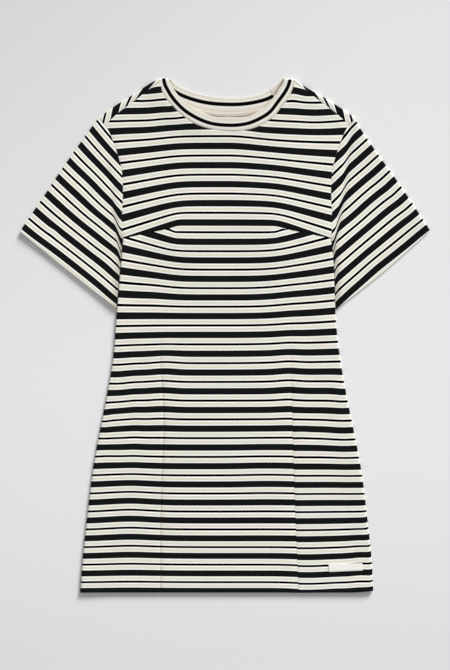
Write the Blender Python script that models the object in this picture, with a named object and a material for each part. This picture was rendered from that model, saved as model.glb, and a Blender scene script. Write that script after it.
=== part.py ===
"""A t-shirt dress in striped knit, laid flat with its front up.

Every cut piece is a thin wall of cloth that meets its neighbours edge to edge, a fine gap apart:
front, back, two sleeves, neckband, the tape over the back neck seam and the small label at the hem.
Lengths are in millimetres, x across from the centre front, y up from the hem, z up from the floor.
"""

import math

import bmesh
import bpy
import numpy as np
from mathutils import Vector
from mathutils.bvhtree import BVHTree

MILLIMETRE = 0.001

# Cloth and the way it lies
CLOTH = 1.5              # one layer of the heavy knit
HEM_CLOTH = 2.2          # the knit turned up and pressed
HEM_TURN = 25.0          # depth of the turned hem
CUFF_TURN = 20.0         # depth of the turned cuffs
SEAM_GAP = 0.36          # between two pieces that are sewn together
SLEEVE_GAP = 0.47        # between a sleeve and the armhole, along the sleeve
UNDERARM_GAP = 0.6       # between a sleeve's underarm edge and the side seam it lies against
FOLD_RADIUS = 3.0        # outer radius where the cloth rolls round an edge
REST_HEIGHT = 4.6        # top of the upper layer where it rests on the lower one
RIM_LIFT = 1.4           # extra height beside a rolled edge
RIM_REACH = 28.0         # how far that lift reaches
TURN_LIFT = 1.4          # extra height over the turned hem and cuffs
NECK_LIFT = 1.6          # extra height beside the neckband
NECK_REACH = 22.0
BUST_LIFT = 2.2          # fullness that the darts leave
BUST_APEX = (78.0, 596.0)
BUST_REACH = (58.0, 70.0)
GROOVE_DEPTH = 0.7       # how far a sewn dart sinks
GROOVE_HALF_WIDTH = 4.0

# Side seams: height above the hem, and distance from the centre on each side
SIDE_SEAM = (
    # height, left, right
    (0.0, 246.5, 245.5),
    (60.0, 242.0, 242.5),
    (146.0, 232.5, 233.0),
    (210.0, 224.5, 224.5),
    (270.0, 213.5, 213.0),
    (331.0, 201.5, 200.5),
    (395.0, 191.0, 189.5),
    (460.0, 186.0, 182.5),
    (555.0, 178.0, 178.5),
    (595.5, 174.5, 174.5),
)
ARMPIT_HEIGHT = 595.5

# Armhole seams, the same on both sides and on both layers
ARMHOLE = (
    # height, distance from the centre
    (595.5, 174.5),
    (625.0, 176.0),
    (671.0, 174.5),
    (705.0, 176.0),
    (727.0, 181.0),
    (755.5, 190.5),
    (780.0, 201.5),
    (795.5, 216.0),
)

# Shoulder: fold from the neck point to the sleeve head, and the seam in front of it
NECK_POINT = (112.5, 862.0)
SLEEVE_HEAD = (216.0, 795.5)
FORWARD_SEAM = (
    # distance from the centre, height
    (112.0, 856.0),
    (134.5, 840.6),
    (171.0, 814.0),
    (204.0, 783.5),
)

# Sleeves: top corner of the cuff, height of its lower corner, how far the cuff bows outwards
CUFFS = {
    # side: (distance of the top corner, its height, height of the lower corner, bow)
    "left": (346.5, 604.8, 476.6, 5.0),
    "right": (339.5, 607.3, 475.8, 2.5),
}

# Neck curves below the neck points: half width, depth, and how square the curve is
NECK_CURVES = {
    # curve: (half width, depth, squareness)
    "front_seam": (112.5, 87.5, 1.9),
    "front_edge": (96.0, 65.5, 1.7),
    "back_seam": (112.5, 55.0, 1.9),
    "back_edge": (96.0, 33.0, 1.8),
}
BAND_THICKNESS = 2.4
BAND_HEIGHT = 7.2        # top of the front of the neckband
BAND_EDGE_DROP = 0.5     # how much its two edges are rounded down
BAND_SHARES = (0.0, 0.08, 0.3, 0.7, 0.92, 1.0)    # lines along the band, from its seam to its free edge
BAND_FOLD_DROPS = (0.5, 1.8, 3.6)                 # stations round its two folds, below the neck points
NECK_CORNER_DROP = 6.0   # the neck corners of the front lie this far below the neck points
TAPE_WIDTH = 8.5
TAPE_THICKNESS = 1.0
TAPE_ENDS = 0.36         # where the tape stops, in radians round the back neck

# Darts: the bust darts run from the armholes' lower ends to their tips, the long ones to the hem
DART_TIP = {"left": (82.0, 617.5), "right": (77.5, 616.5)}
LONG_DART = (
    # height, left, right
    (0.0, 111.0, 119.5),
    (150.0, 110.0, 113.5),
    (289.0, 105.5, 109.0),
    (438.0, 110.0, 104.8),
    (616.5, 82.0, 77.5),
)
LONG_DART_TOP = 438.0
LONG_DART_FADE = 90.0    # the long darts' grooves reach their full depth this far below their top

# Creases that run down each sleeve to the armpit: start, end, depth, half width
CREASE_RIDGE = 0.8       # how much of the depth comes up again as a low ridge on each side
SLEEVE_CREASE = {
    "left": ((191.0, 652.0), (178.0, 588.0), 1.3, 6.0),
    "right": ((202.0, 697.0), (180.0, 592.0), 1.5, 7.0),
}

# Label: centre, size, turn
LABEL_CENTRE = (198.8, 40.6)
LABEL_SIZE = (56.5, 12.4)
LABEL_TURN = math.radians(2.6)
LABEL_THICKNESS = 1.0
LABEL_CLEARANCE = 0.4
ABOVE_THE_CLOTH = 50.0

CREAM = (0.78, 0.75, 0.67, 1.0)
TAPE_CREAM = (0.80, 0.77, 0.70, 1.0)
LABEL_CREAM = (0.86, 0.84, 0.78, 1.0)

SIDES = {"left": -1.0, "right": 1.0}
SIDE_COLUMN = {"left": 1, "right": 2}
ACROSS = (1.0, 0.0, 0.0)
UP = (0.0, 0.0, 1.0)


# ---------------------------------------------------------------- curves

def through(table, value_column):
    """A smooth curve through a table: give it a value of the first column."""
    keys = [row[0] for row in table]
    values = [row[value_column] for row in table]
    last = len(keys) - 1
    slopes = []
    for i in range(len(keys)):
        before = max(i - 1, 0)
        after = min(i + 1, last)
        slopes.append((values[after] - values[before]) / (keys[after] - keys[before]))

    def curve(key):
        i = min(max(int(np.searchsorted(keys, key)) - 1, 0), last - 1)
        span = keys[i + 1] - keys[i]
        t = min(max((key - keys[i]) / span, 0.0), 1.0)
        return (
            values[i] * (2 * t**3 - 3 * t**2 + 1)
            + values[i + 1] * (3 * t**2 - 2 * t**3)
            + span * slopes[i] * (t**3 - 2 * t**2 + t)
            + span * slopes[i + 1] * (t**3 - t**2)
        )

    return curve


class Path:
    """A curve in plan, read by the length run along it."""

    def __init__(self, points):
        self.points = np.array(points, dtype=float)
        steps = np.linalg.norm(np.diff(self.points, axis=0), axis=1)
        self.runs = np.concatenate([[0.0], np.cumsum(steps)])
        self.length = float(self.runs[-1])

    def at(self, run):
        return np.array([np.interp(run, self.runs, self.points[:, k]) for k in (0, 1)])

    def distance(self, point):
        """Shortest distance from a point in plan to the curve."""
        starts = self.points[:-1]
        spans = np.diff(self.points, axis=0)
        shares = ((point - starts) * spans).sum(axis=1) / (spans**2).sum(axis=1)
        nearest = starts + spans * np.clip(shares, 0.0, 1.0)[:, None]
        return float(np.linalg.norm(nearest - point, axis=1).min())


def side_path(side):
    """Side seam, from the armpit down to the hem."""
    curve = through(SIDE_SEAM, SIDE_COLUMN[side])
    heights = np.linspace(ARMPIT_HEIGHT, 0.0, 120)
    return Path([(SIDES[side] * curve(y), y) for y in heights])


def armhole_path(side):
    """Armhole seam, from the shoulder fold down to the armpit."""
    curve = through(ARMHOLE, 1)
    heights = np.linspace(SLEEVE_HEAD[1], ARMPIT_HEIGHT, 240)
    return Path([(SIDES[side] * curve(y), y) for y in heights])


def forward_seam_path(side):
    """Seam in front of the shoulder fold, from the armhole up to the neckband."""
    curve = through(FORWARD_SEAM, 1)
    distances = np.linspace(FORWARD_SEAM[-1][0], FORWARD_SEAM[0][0], 60)
    return Path([(SIDES[side] * x, curve(x)) for x in distances])


def neck_curve(name, angle, outset=0.0):
    """Point of a neck curve; the angle runs from the right neck point (0) to the left (pi)."""
    half_width, depth, squareness = NECK_CURVES[name]
    power = 2.0 / squareness
    across = math.copysign(abs(math.cos(angle)) ** power, math.cos(angle))
    down = max(math.sin(angle), 0.0) ** power
    return np.array([(half_width + outset) * across, NECK_POINT[1] - (depth + outset) * down])


SIDE_PATH = {side: side_path(side) for side in SIDES}
ARMHOLE_PATH = {side: armhole_path(side) for side in SIDES}
SHOULDER_FOLD = {
    side: Path([(sign * SLEEVE_HEAD[0], SLEEVE_HEAD[1]), (sign * NECK_POINT[0], NECK_POINT[1])])
    for side, sign in SIDES.items()
}
FORWARD_PATH = {side: forward_seam_path(side) for side in SIDES}


def cuff_corners(side):
    """Top and lower corner of a cuff; the lower one lies against the side seam."""
    top_distance, top_height, low_height, _ = CUFFS[side]
    seam = through(SIDE_SEAM, SIDE_COLUMN[side])
    sign = SIDES[side]
    top = np.array([sign * top_distance, top_height])
    low = np.array([sign * (seam(low_height) + UNDERARM_GAP), low_height])
    return top, low


def cuff_path(side):
    """Edge of the cuff, a shallow bow from its top corner to its lower corner."""
    top, low = cuff_corners(side)
    bow = CUFFS[side][3]
    along = (low - top) / np.linalg.norm(low - top)
    outwards = np.array([along[1], -along[0]]) * -SIDES[side]
    shares = np.linspace(0.0, 1.0, 40)
    return Path([top + (low - top) * s + outwards * bow * 4 * s * (1 - s) for s in shares])


CUFF_PATH = {side: cuff_path(side) for side in SIDES}
SLEEVE_FOLD = {
    side: Path([(sign * SLEEVE_HEAD[0], SLEEVE_HEAD[1]), tuple(cuff_corners(side)[0])])
    for side, sign in SIDES.items()
}


def underarm_path(side):
    """Underarm edge of a sleeve, beside the body's side seam, from the armpit to the cuff."""
    seam = through(SIDE_SEAM, SIDE_COLUMN[side])
    heights = np.linspace(ARMPIT_HEIGHT, CUFFS[side][2], 30)
    return Path([(SIDES[side] * (seam(y) + UNDERARM_GAP), y) for y in heights])


UNDERARM_PATH = {side: underarm_path(side) for side in SIDES}


# ---------------------------------------------------------------- how high the cloth lies

def bell(distance, reach):
    """1 on the spot, fading smoothly to nothing at about twice the reach."""
    return math.exp(-((distance / reach) ** 2))


def upper_height(point):
    """Height of the upper layer's outer face, away from the rolled edges themselves."""
    x, y = float(point[0]), float(point[1])
    side = "left" if x < 0 else "right"
    height = REST_HEIGHT

    # the cloth springs up beside every rolled edge
    folds = (SIDE_PATH[side], SHOULDER_FOLD[side], SLEEVE_FOLD[side])
    edge_distance = min(fold.distance(point) for fold in folds)
    height += RIM_LIFT * bell(edge_distance, RIM_REACH)

    # turned hem and cuffs
    height += TURN_LIFT * bell(max(y - HEM_TURN * 0.5, 0.0), HEM_TURN)
    height += TURN_LIFT * bell(CUFF_PATH[side].distance(point), CUFF_TURN)

    # seam allowances round the neck
    half_width, depth, squareness = NECK_CURVES["front_seam"]
    down = max(NECK_POINT[1] - y, 0.0)
    ring = ((abs(x) / half_width) ** squareness + (down / depth) ** squareness) ** (1 / squareness)
    height += NECK_LIFT * bell(max(ring - 1.0, 0.0) * depth, NECK_REACH)

    # fullness over the bust
    away = math.hypot((abs(x) - BUST_APEX[0]) / BUST_REACH[0], (y - BUST_APEX[1]) / BUST_REACH[1])
    height += BUST_LIFT * bell(away, 1.0)
    return height


def crease_drop(side, point):
    """Depth of the crease on a sleeve at a point, with a low ridge on each side of it."""
    (x0, y0), (x1, y1), depth, half_width = SLEEVE_CREASE[side]
    start = np.array([SIDES[side] * x0, y0])
    end = np.array([SIDES[side] * x1, y1])
    span = end - start
    share = float(np.dot(point - start, span) / np.dot(span, span))
    off = point - (start + span * min(max(share, 0.0), 1.0))
    across = float(np.linalg.norm(off)) / half_width
    return depth * (1.0 - CREASE_RIDGE * across**2) * math.exp(-(across**2))


def roll(edge_distance):
    """Share of the full height that a layer has reached at a distance from its rolled edge."""
    if edge_distance >= FOLD_RADIUS:
        return 1.0
    return math.sqrt(max(1.0 - (1.0 - edge_distance / FOLD_RADIUS) ** 2, 0.0))


def upper_z(point, edge_distance=FOLD_RADIUS):
    top = upper_height(point)
    return FOLD_RADIUS + (top - FOLD_RADIUS) * roll(edge_distance)


def lower_z(edge_distance=FOLD_RADIUS):
    return FOLD_RADIUS - FOLD_RADIUS * roll(edge_distance)


# ---------------------------------------------------------------- walls

class Surface:
    """Outer face of a wall, built of quads whose corners are shared where they coincide."""

    def __init__(self):
        self.mesh = bmesh.new()
        self.corners = {}
        self.across_seam = {}        # corners on a seam that runs over a roll: its rim's direction
        self.thickness = {}

    def corner(self, point, thickness=CLOTH, across_seam=None):
        key = tuple(round(float(value), 3) for value in point)
        if key not in self.corners:
            self.corners[key] = self.mesh.verts.new(key)
        vertex = self.corners[key]
        self.thickness[vertex] = thickness
        if across_seam is not None:
            self.across_seam[vertex] = Vector(across_seam)
        return vertex

    def patch(self, rows, closed=False):
        """Quads between rows of corners, each row from left to right seen from outside."""
        for low, high in zip(rows[:-1], rows[1:]):
            count = len(low) if closed else len(low) - 1
            for i in range(count):
                j = (i + 1) % len(low)
                ring = [low[i], low[j], high[j], high[i]]
                ring = [v for k, v in enumerate(ring) if v is not ring[k - 1]]
                if len(ring) > 2:
                    self.mesh.faces.new(ring)

    def wall(self, name, colour):
        """Give the surface its thickness inwards, close its rims and make the object."""
        outer_faces = list(self.mesh.faces)
        self.mesh.normal_update()
        inner = {}
        for vertex in list(self.mesh.verts):
            normal = vertex.normal.copy()
            if vertex in self.across_seam:
                across = self.across_seam[vertex]
                normal -= across * normal.dot(across)
                normal.normalize()
            inner[vertex] = self.mesh.verts.new(vertex.co - normal * self.thickness[vertex])
        rims = [edge for edge in self.mesh.edges if edge.is_boundary]
        rim_loops = [edge.link_loops[0] for edge in rims]
        rim_pairs = [(loop.vert, loop.link_loop_next.vert) for loop in rim_loops]
        for face in outer_faces:
            self.mesh.faces.new([inner[vertex] for vertex in reversed(face.verts)])
        for first, second in rim_pairs:
            self.mesh.faces.new([second, first, inner[first], inner[second]])
        return finish(name, self.mesh, colour)


def finish(name, mesh, colour):
    """Turn a closed bmesh in millimetres into a named object in metres with its own material."""
    bmesh.ops.scale(mesh, vec=(MILLIMETRE,) * 3, verts=mesh.verts)
    bmesh.ops.triangulate(mesh, faces=mesh.faces[:])
    bmesh.ops.recalc_face_normals(mesh, faces=mesh.faces[:])
    data = bpy.data.meshes.new(name)
    mesh.to_mesh(data)
    mesh.free()
    piece = bpy.data.objects.new(name, data)
    bpy.context.scene.collection.objects.link(piece)

    cloth = bpy.data.materials.new(name + "_cloth")
    cloth.use_nodes = True
    shader = cloth.node_tree.nodes["Principled BSDF"]
    shader.inputs["Base Color"].default_value = colour
    shader.inputs["Roughness"].default_value = 0.85
    shader.inputs["Metallic"].default_value = 0.0
    data.materials.append(cloth)
    return piece


def coons(bottom, top, left, right, u, w):
    """Point of the patch between four curves, each given as a function of a share."""
    ruled = (1 - w) * bottom(u) + w * top(u) + (1 - u) * left(w) + u * right(w)
    corners = (1 - u) * ((1 - w) * bottom(0.0) + w * top(0.0))
    corners = corners + u * ((1 - w) * bottom(1.0) + w * top(1.0))
    return ruled - corners


# ---------------------------------------------------------------- shared divisions

EDGE_STOPS = (0.0, 0.4, 1.5, FOLD_RADIUS)
ZONE_WIDTH = 100.0       # nominal width of the side zones, for the narrow columns at their edges
SIDE_ZONE_BROAD = (0.14, 0.32, 0.52, 0.74)
CENTRE_COLUMNS = 12

ARMHOLE_LENGTH = ARMHOLE_PATH["right"].length
FORWARD_RUN = math.dist(SLEEVE_HEAD, FORWARD_SEAM[-1])
ARMHOLE_SHARES = (0.98, 0.88, 0.76, 0.64, 0.52, 0.41, 0.31, 0.22, 0.14)
ARMHOLE_RUNS = [ARMHOLE_LENGTH] + [share * ARMHOLE_LENGTH for share in ARMHOLE_SHARES]

HEM_ROWS = (0.0, 24.0, 27.5)
FRONT_ROWS = HEM_ROWS + (
    70.0, 120.0, 170.0, 215.0, 260.0, 305.0, 350.0, 395.0, 438.0, 485.0, 530.0, 570.0,
)
BACK_ROWS = HEM_ROWS + (90.0, 160.0, 215.0, 270.0, 330.0, 395.0, 438.0, 485.0, 530.0)
SLEEVE_SHARES = (0.0, 0.06, 0.13, 0.22, 0.36, 0.52, 0.68, 0.82)
TURN_HALF_STEP = 0.01    # half of the step from one layer to the turned cuff, as a share of the sleeve


def side_zone_shares():
    """Columns of a side zone, from the side seam to the long dart."""
    narrow = [stop / ZONE_WIDTH for stop in EDGE_STOPS]
    return narrow + list(SIDE_ZONE_BROAD) + [1.0 - GROOVE_HALF_WIDTH / ZONE_WIDTH, 1.0]


def centre_zone_shares():
    """Columns between the two long darts."""
    narrow = GROOVE_HALF_WIDTH / (2 * ZONE_WIDTH)
    broad = [i / CENTRE_COLUMNS for i in range(1, CENTRE_COLUMNS)]
    return [0.0, narrow] + broad + [1.0 - narrow, 1.0]


def neck_angle(share):
    """Angle round the neck for a share of the way from the left corner to the right one."""
    depth, squareness = NECK_CURVES["front_seam"][1:]
    corner = math.asin((NECK_CORNER_DROP / depth) ** (squareness / 2))
    return math.pi - corner - share * (math.pi - 2 * corner)


def long_dart(side):
    curve = through(LONG_DART, SIDE_COLUMN[side])
    return lambda y: np.array([SIDES[side] * curve(y), y])


def dart_row(share, zone):
    """Row of the two bust darts: up from each armpit to the dart's tip and straight across."""
    tips = {side: np.array([SIDES[side] * DART_TIP[side][0], DART_TIP[side][1]]) for side in SIDES}
    pits = {side: ARMHOLE_PATH[side].at(ARMHOLE_LENGTH) for side in SIDES}
    if zone == "centre":
        return tips["left"] + (tips["right"] - tips["left"]) * share
    return pits[zone] + (tips[zone] - pits[zone]) * share


def lower_zone(zone, u, w):
    """Plan point below the bust darts: u across the zone from its outer edge, w up from the hem."""
    if zone == "centre":
        left, right = long_dart("left"), long_dart("right")
        start = left(DART_TIP["left"][1] * w)
        end = right(DART_TIP["right"][1] * w)
    else:
        start = SIDE_PATH[zone].at(SIDE_PATH[zone].length * (1 - w))
        end = long_dart(zone)(DART_TIP[zone][1] * w)
    return start + (end - start) * u


def upper_zone(zone, u, w, top_curve, outer_curve, inner_top):
    """Plan point above the bust darts, between the dart row and the curve along the top."""
    if zone == "centre":
        left_tip, right_tip = dart_row(0.0, zone), dart_row(1.0, zone)
        return coons(
            lambda share: dart_row(share, zone),
            top_curve,
            lambda rise: left_tip + (top_curve(0.0) - left_tip) * rise,
            lambda rise: right_tip + (top_curve(1.0) - right_tip) * rise,
            u,
            w,
        )
    tip = dart_row(1.0, zone)
    return coons(
        lambda share: dart_row(share, zone),
        top_curve,
        outer_curve,
        lambda rise: tip + (inner_top - tip) * rise,
        u,
        w,
    )


def zones():
    """The three zones across the body, with their column shares from left to right."""
    side_shares = side_zone_shares()
    return (
        ("left", side_shares),
        ("centre", centre_zone_shares()),
        ("right", list(reversed(side_shares))),
    )


def edge_distance(zone, share):
    """Distance of a column from its side seam."""
    return FOLD_RADIUS if zone == "centre" else share * ZONE_WIDTH


def body_columns():
    """Every column of the body once, as (zone, share)."""
    columns = []
    for zone, shares in zones():
        columns += [(zone, share) for share in shares]
    unique = []
    for zone, share in columns:
        joined_left = zone == "centre" and share == 0.0
        joined_right = zone == "right" and share == 1.0
        if not joined_left and not joined_right:
            unique.append((zone, share))
    return unique


def turned_thickness(y):
    return HEM_CLOTH if y < HEM_TURN else CLOTH


# ---------------------------------------------------------------- front

def groove(zone, share, y, on_dart_row):
    """How far the sewn darts pull the front down at a grid point."""
    drop = 0.0
    on_long_dart = (zone == "centre" and share in (0.0, 1.0)) or (zone != "centre" and share == 1.0)
    if on_long_dart and y < LONG_DART_TOP:
        drop = GROOVE_DEPTH * min((LONG_DART_TOP - y) / LONG_DART_FADE, 1.0)
    if on_dart_row and zone != "centre":
        drop = GROOVE_DEPTH * (1.0 - share)
    return drop


def front_top(zone):
    """Upper edge of the front: the forward shoulder seams and the neckline between them."""
    if zone == "centre":
        return lambda share: neck_curve("front_seam", neck_angle(share), SEAM_GAP)
    path = FORWARD_PATH[zone]
    shift = np.array([0.0, -SEAM_GAP / 2])
    ends = {
        0.0: ARMHOLE_PATH[zone].at(FORWARD_RUN) + shift,
        1.0: neck_curve("front_seam", neck_angle(0.0 if zone == "left" else 1.0), SEAM_GAP),
    }
    return lambda share: ends.get(share, path.at(path.length * share) + shift)


def front_outer(zone):
    """Armhole edge of the front, from the armpit up to the forward seam, at the shared stops."""
    runs = ARMHOLE_RUNS + [FORWARD_RUN]
    stops = np.linspace(0.0, 1.0, len(runs))
    path = ARMHOLE_PATH[zone]
    return lambda rise: path.at(float(np.interp(rise, stops, runs)))


def make_front():
    surface = Surface()
    rows = []
    columns = body_columns()
    for height in FRONT_ROWS:
        row = []
        for zone, share in columns:
            plan = lower_zone(zone, share, height / DART_TIP["left"][1])
            row.append(front_corner(surface, zone, share, plan, False, True))
        rows.append(row)
    last_step = 1.0 - GROOVE_HALF_WIDTH / DART_TIP["left"][1]
    below = [(zone, share, lower_zone(zone, share, last_step)) for zone, share in columns]
    rows.append([front_corner(surface, zone, share, plan, False, True) for zone, share, plan in below])
    on_row = [(zone, share, dart_row(share, zone)) for zone, share in columns]
    rows.append([front_corner(surface, zone, share, plan, True, True) for zone, share, plan in on_row])

    rises = np.linspace(0.0, 1.0, len(ARMHOLE_RUNS) + 1)[1:]
    neck_corner = {
        "left": neck_curve("front_seam", neck_angle(0.0), SEAM_GAP),
        "right": neck_curve("front_seam", neck_angle(1.0), SEAM_GAP),
    }
    for rise in rises:
        row = []
        for zone, share in columns:
            outer = None if zone == "centre" else front_outer(zone)
            plan = upper_zone(zone, share, rise, front_top(zone), outer, neck_corner.get(zone))
            row.append(front_corner(surface, zone, share, plan, False, False))
        rows.append(row)
    surface.patch(rows)
    return surface.wall("front", CREAM)


def front_corner(surface, zone, share, plan, on_dart_row, rolled):
    off_edge = edge_distance(zone, share) if rolled else FOLD_RADIUS
    z = upper_z(plan, off_edge) - groove(zone, share, plan[1], on_dart_row) * roll(off_edge)
    across_seam = None
    if rolled and zone != "centre" and share == 0.0:
        z += SEAM_GAP / 2
        across_seam = UP
    return surface.corner((plan[0], plan[1], z), turned_thickness(plan[1]), across_seam)


# ---------------------------------------------------------------- back

def fold_point(zone, share, off_fold):
    """Plan point beside the shoulder fold; share 0 is the armhole end and 1 the neck end."""
    head = ARMHOLE_PATH[zone].at(0.0)
    neck = SHOULDER_FOLD[zone].at(SHOULDER_FOLD[zone].length) + np.array([SIDES[zone] * SEAM_GAP, 0.0])
    along = (neck - head) / np.linalg.norm(neck - head)
    inwards = np.array([-along[1], along[0]]) * SIDES[zone]
    armhole_way = ARMHOLE_PATH[zone].at(FORWARD_RUN) - head
    armhole_way = armhole_way / np.linalg.norm(armhole_way)
    neck_way = np.array([0.0, -1.0])
    start = head + armhole_way * off_fold / float(np.dot(armhole_way, inwards))
    end = neck + neck_way * off_fold / float(np.dot(neck_way, inwards))
    return start + (end - start) * share


def back_top(zone):
    """Upper edge of the flat of the back: just short of the shoulder folds, and the neckline."""
    if zone == "centre":
        return back_neck_point
    return lambda share: fold_point(zone, share, FOLD_RADIUS)


def back_neck_point(share):
    """Back neckline, from the corner beside the left shoulder fold to the right one."""
    if share == 0.0:
        return fold_point("left", 1.0, FOLD_RADIUS)
    if share == 1.0:
        return fold_point("right", 1.0, FOLD_RADIUS)
    return neck_curve("back_seam", neck_angle(share), SEAM_GAP)


def back_outer(zone):
    """Armhole edge of the back's flat, at the stops it shares with the sleeve."""
    runs = ARMHOLE_RUNS + [FORWARD_RUN]
    stops = np.linspace(0.0, 1.0, len(runs) + 1)[:-1]
    path = ARMHOLE_PATH[zone]
    top = fold_point(zone, 0.0, FOLD_RADIUS)
    return lambda rise: top if rise >= 1.0 else path.at(float(np.interp(rise, stops, runs)))


def make_back():
    surface = Surface()
    columns = body_columns()
    rows = []
    for height in BACK_ROWS:
        row = []
        for zone, share in columns:
            plan = lower_zone(zone, share, height / DART_TIP["left"][1])
            row.append(back_corner(surface, zone, share, plan, True))
        rows.append(row)
    rows.append([back_corner(surface, zone, share, dart_row(share, zone), True) for zone, share in columns])
    rises = np.linspace(0.0, 1.0, len(ARMHOLE_RUNS) + 2)[1:]
    for rise in rises:
        row = []
        for zone, share in columns:
            outer = None if zone == "centre" else back_outer(zone)
            inner_top = None if zone == "centre" else fold_point(zone, 1.0, FOLD_RADIUS)
            plan = upper_zone(zone, share, rise, back_top(zone), outer, inner_top)
            row.append(back_corner(surface, zone, share, plan, False))
        rows.append(row)
    surface.patch([list(reversed(row)) for row in rows])

    for zone in SIDES:
        wrap_shoulder(surface, zone, rows[-1], columns)
    return surface.wall("back", CREAM)


def back_corner(surface, zone, share, plan, rolled):
    off_edge = edge_distance(zone, share) if rolled else FOLD_RADIUS
    z = lower_z(off_edge)
    across_seam = None
    if rolled and zone != "centre" and share == 0.0:
        z -= SEAM_GAP / 2
        across_seam = UP
    return surface.corner((plan[0], plan[1], z), turned_thickness(plan[1]), across_seam)


def wrap_shoulder(surface, zone, last_row, columns):
    """Carry the back over one shoulder fold and down to the forward seam."""
    beside_fold = {share: vertex for (z, share), vertex in zip(columns, last_row) if z == zone}
    beside_fold[1.0] = surface.corner((*fold_point(zone, 1.0, FOLD_RADIUS), lower_z()))
    shares = sorted(beside_fold)
    rows = [[beside_fold[share] for share in shares]]
    for stop in reversed(EDGE_STOPS[:-1]):
        rows.append([shoulder_corner(surface, zone, share, stop, False) for share in shares])
    for stop in EDGE_STOPS[1:]:
        rows.append([shoulder_corner(surface, zone, share, stop, True) for share in shares])
    seam_row = []
    top = front_top(zone)
    lift = np.array([0.0, SEAM_GAP])
    for share in shares:
        plan = top(share) + lift
        seam_row.append(surface.corner((plan[0], plan[1], upper_z(plan))))
    rows.append(seam_row)
    if zone == "left":
        rows = [list(reversed(row)) for row in rows]
    surface.patch(rows)


def shoulder_corner(surface, zone, share, off_fold, upper):
    plan = fold_point(zone, share, off_fold)
    z = upper_z(plan, off_fold) if upper else lower_z(off_fold)
    ends = {0.0: across_armhole(zone), 1.0: ACROSS}
    return surface.corner((plan[0], plan[1], z), CLOTH, ends.get(share))


def across_armhole(side):
    """Direction across the armhole seam where it runs over the shoulder fold."""
    along = ARMHOLE_PATH[side].at(FORWARD_RUN) - ARMHOLE_PATH[side].at(0.0)
    along = along / np.linalg.norm(along)
    return (along[1], -along[0], 0.0)


# ---------------------------------------------------------------- sleeves

def sleeve_plan(side, run, share):
    """Plan point of a sleeve: run down its width from the fold, share along it to the cuff."""
    axis = CUFF_PATH[side].at(CUFF_PATH[side].length / 2) - ARMHOLE_PATH[side].at(ARMHOLE_LENGTH / 2)
    step_off = axis / np.linalg.norm(axis) * SLEEVE_GAP
    width_share = run / ARMHOLE_LENGTH
    cuff = CUFF_PATH[side]
    head, pit = ARMHOLE_PATH[side].at(0.0) + step_off, UNDERARM_PATH[side].at(0.0)
    top_corner, low_corner = cuff.at(0.0), cuff.at(cuff.length)

    def armhole(width):
        if width >= 1.0:
            return pit
        return ARMHOLE_PATH[side].at(width * ARMHOLE_LENGTH) + step_off

    return coons(
        armhole,
        lambda width: low_corner if width >= 1.0 else cuff.at(width * cuff.length),
        lambda along: head + (top_corner - head) * along,
        lambda along: UNDERARM_PATH[side].at(UNDERARM_PATH[side].length * along),
        width_share,
        share,
    )


def make_sleeve(side):
    surface = Surface()
    middle_runs = [FORWARD_RUN] + sorted(ARMHOLE_RUNS[2:])
    near_fold = list(EDGE_STOPS)
    near_underarm = [ARMHOLE_LENGTH - stop for stop in reversed(EDGE_STOPS)]
    runs = near_fold + middle_runs + near_underarm
    turn_share = 1.0 - CUFF_TURN / SLEEVE_FOLD[side].length
    shares = SLEEVE_SHARES + (turn_share - TURN_HALF_STEP, turn_share + TURN_HALF_STEP, 1.0)
    rows = []
    for share in shares:
        thickness = HEM_CLOTH if share > turn_share else CLOTH
        upper, lower = [], []
        for run in runs:
            plan = sleeve_plan(side, run, share)
            off_edge = min(run, ARMHOLE_LENGTH - run)
            over_fold = share == 0.0 and run < FORWARD_RUN
            across_seam = across_armhole(side) if over_fold else None
            top = upper_z(plan, off_edge) - crease_drop(side, plan) * roll(off_edge)
            upper.append(surface.corner((plan[0], plan[1], top), thickness, across_seam))
            if 0.0 < off_edge:
                bottom = lower_z(off_edge)
                lower.append(surface.corner((plan[0], plan[1], bottom), thickness, across_seam))
        ring = upper + list(reversed(lower))
        rows.append(ring)
    if side == "left":
        rows = [list(reversed(row)) for row in rows]
    surface.patch(rows, closed=True)
    return surface.wall("sleeve_" + side, CREAM)


# ---------------------------------------------------------------- neckband, tape and label

def band_ring():
    """Stations round the neckband as (angle, on the front): right fold, front, left fold, back."""
    depth, squareness = NECK_CURVES["front_seam"][1:]
    near = [math.asin((drop / depth) ** (squareness / 2)) for drop in BAND_FOLD_DROPS]
    half = near + [neck_angle(share) for share in reversed(centre_zone_shares())]
    half += [math.pi - angle for angle in reversed(near)]
    front = [(0.0, True)] + [(angle, True) for angle in half]
    back = [(math.pi, False)] + [(math.pi - angle, False) for angle in half]
    return front + back


def band_z(drop, on_front, share):
    """Height of the neckband's outer face at a distance below the shoulder fold."""
    middle = BAND_HEIGHT / 2
    reached = 1.0 if drop >= middle else math.sqrt(max(1.0 - (1.0 - drop / middle) ** 2, 0.0))
    rounding = BAND_EDGE_DROP if share in (0.0, 1.0) else 0.0
    if on_front:
        return middle + (middle - rounding) * reached
    return middle - middle * reached


def make_neckband():
    surface = Surface()
    rows = []
    for angle, on_front in band_ring():
        seam = neck_curve("front_seam" if on_front else "back_seam", angle)
        edge = neck_curve("front_edge" if on_front else "back_edge", angle)
        row = []
        for share in BAND_SHARES:
            plan = seam + (edge - seam) * share
            z = band_z(NECK_POINT[1] - plan[1], on_front, share)
            row.append(surface.corner((plan[0], plan[1], z), BAND_THICKNESS))
        rows.append(row)
    rows.append(rows[0])
    surface.patch(rows)
    return surface.wall("neckband", CREAM)


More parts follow.
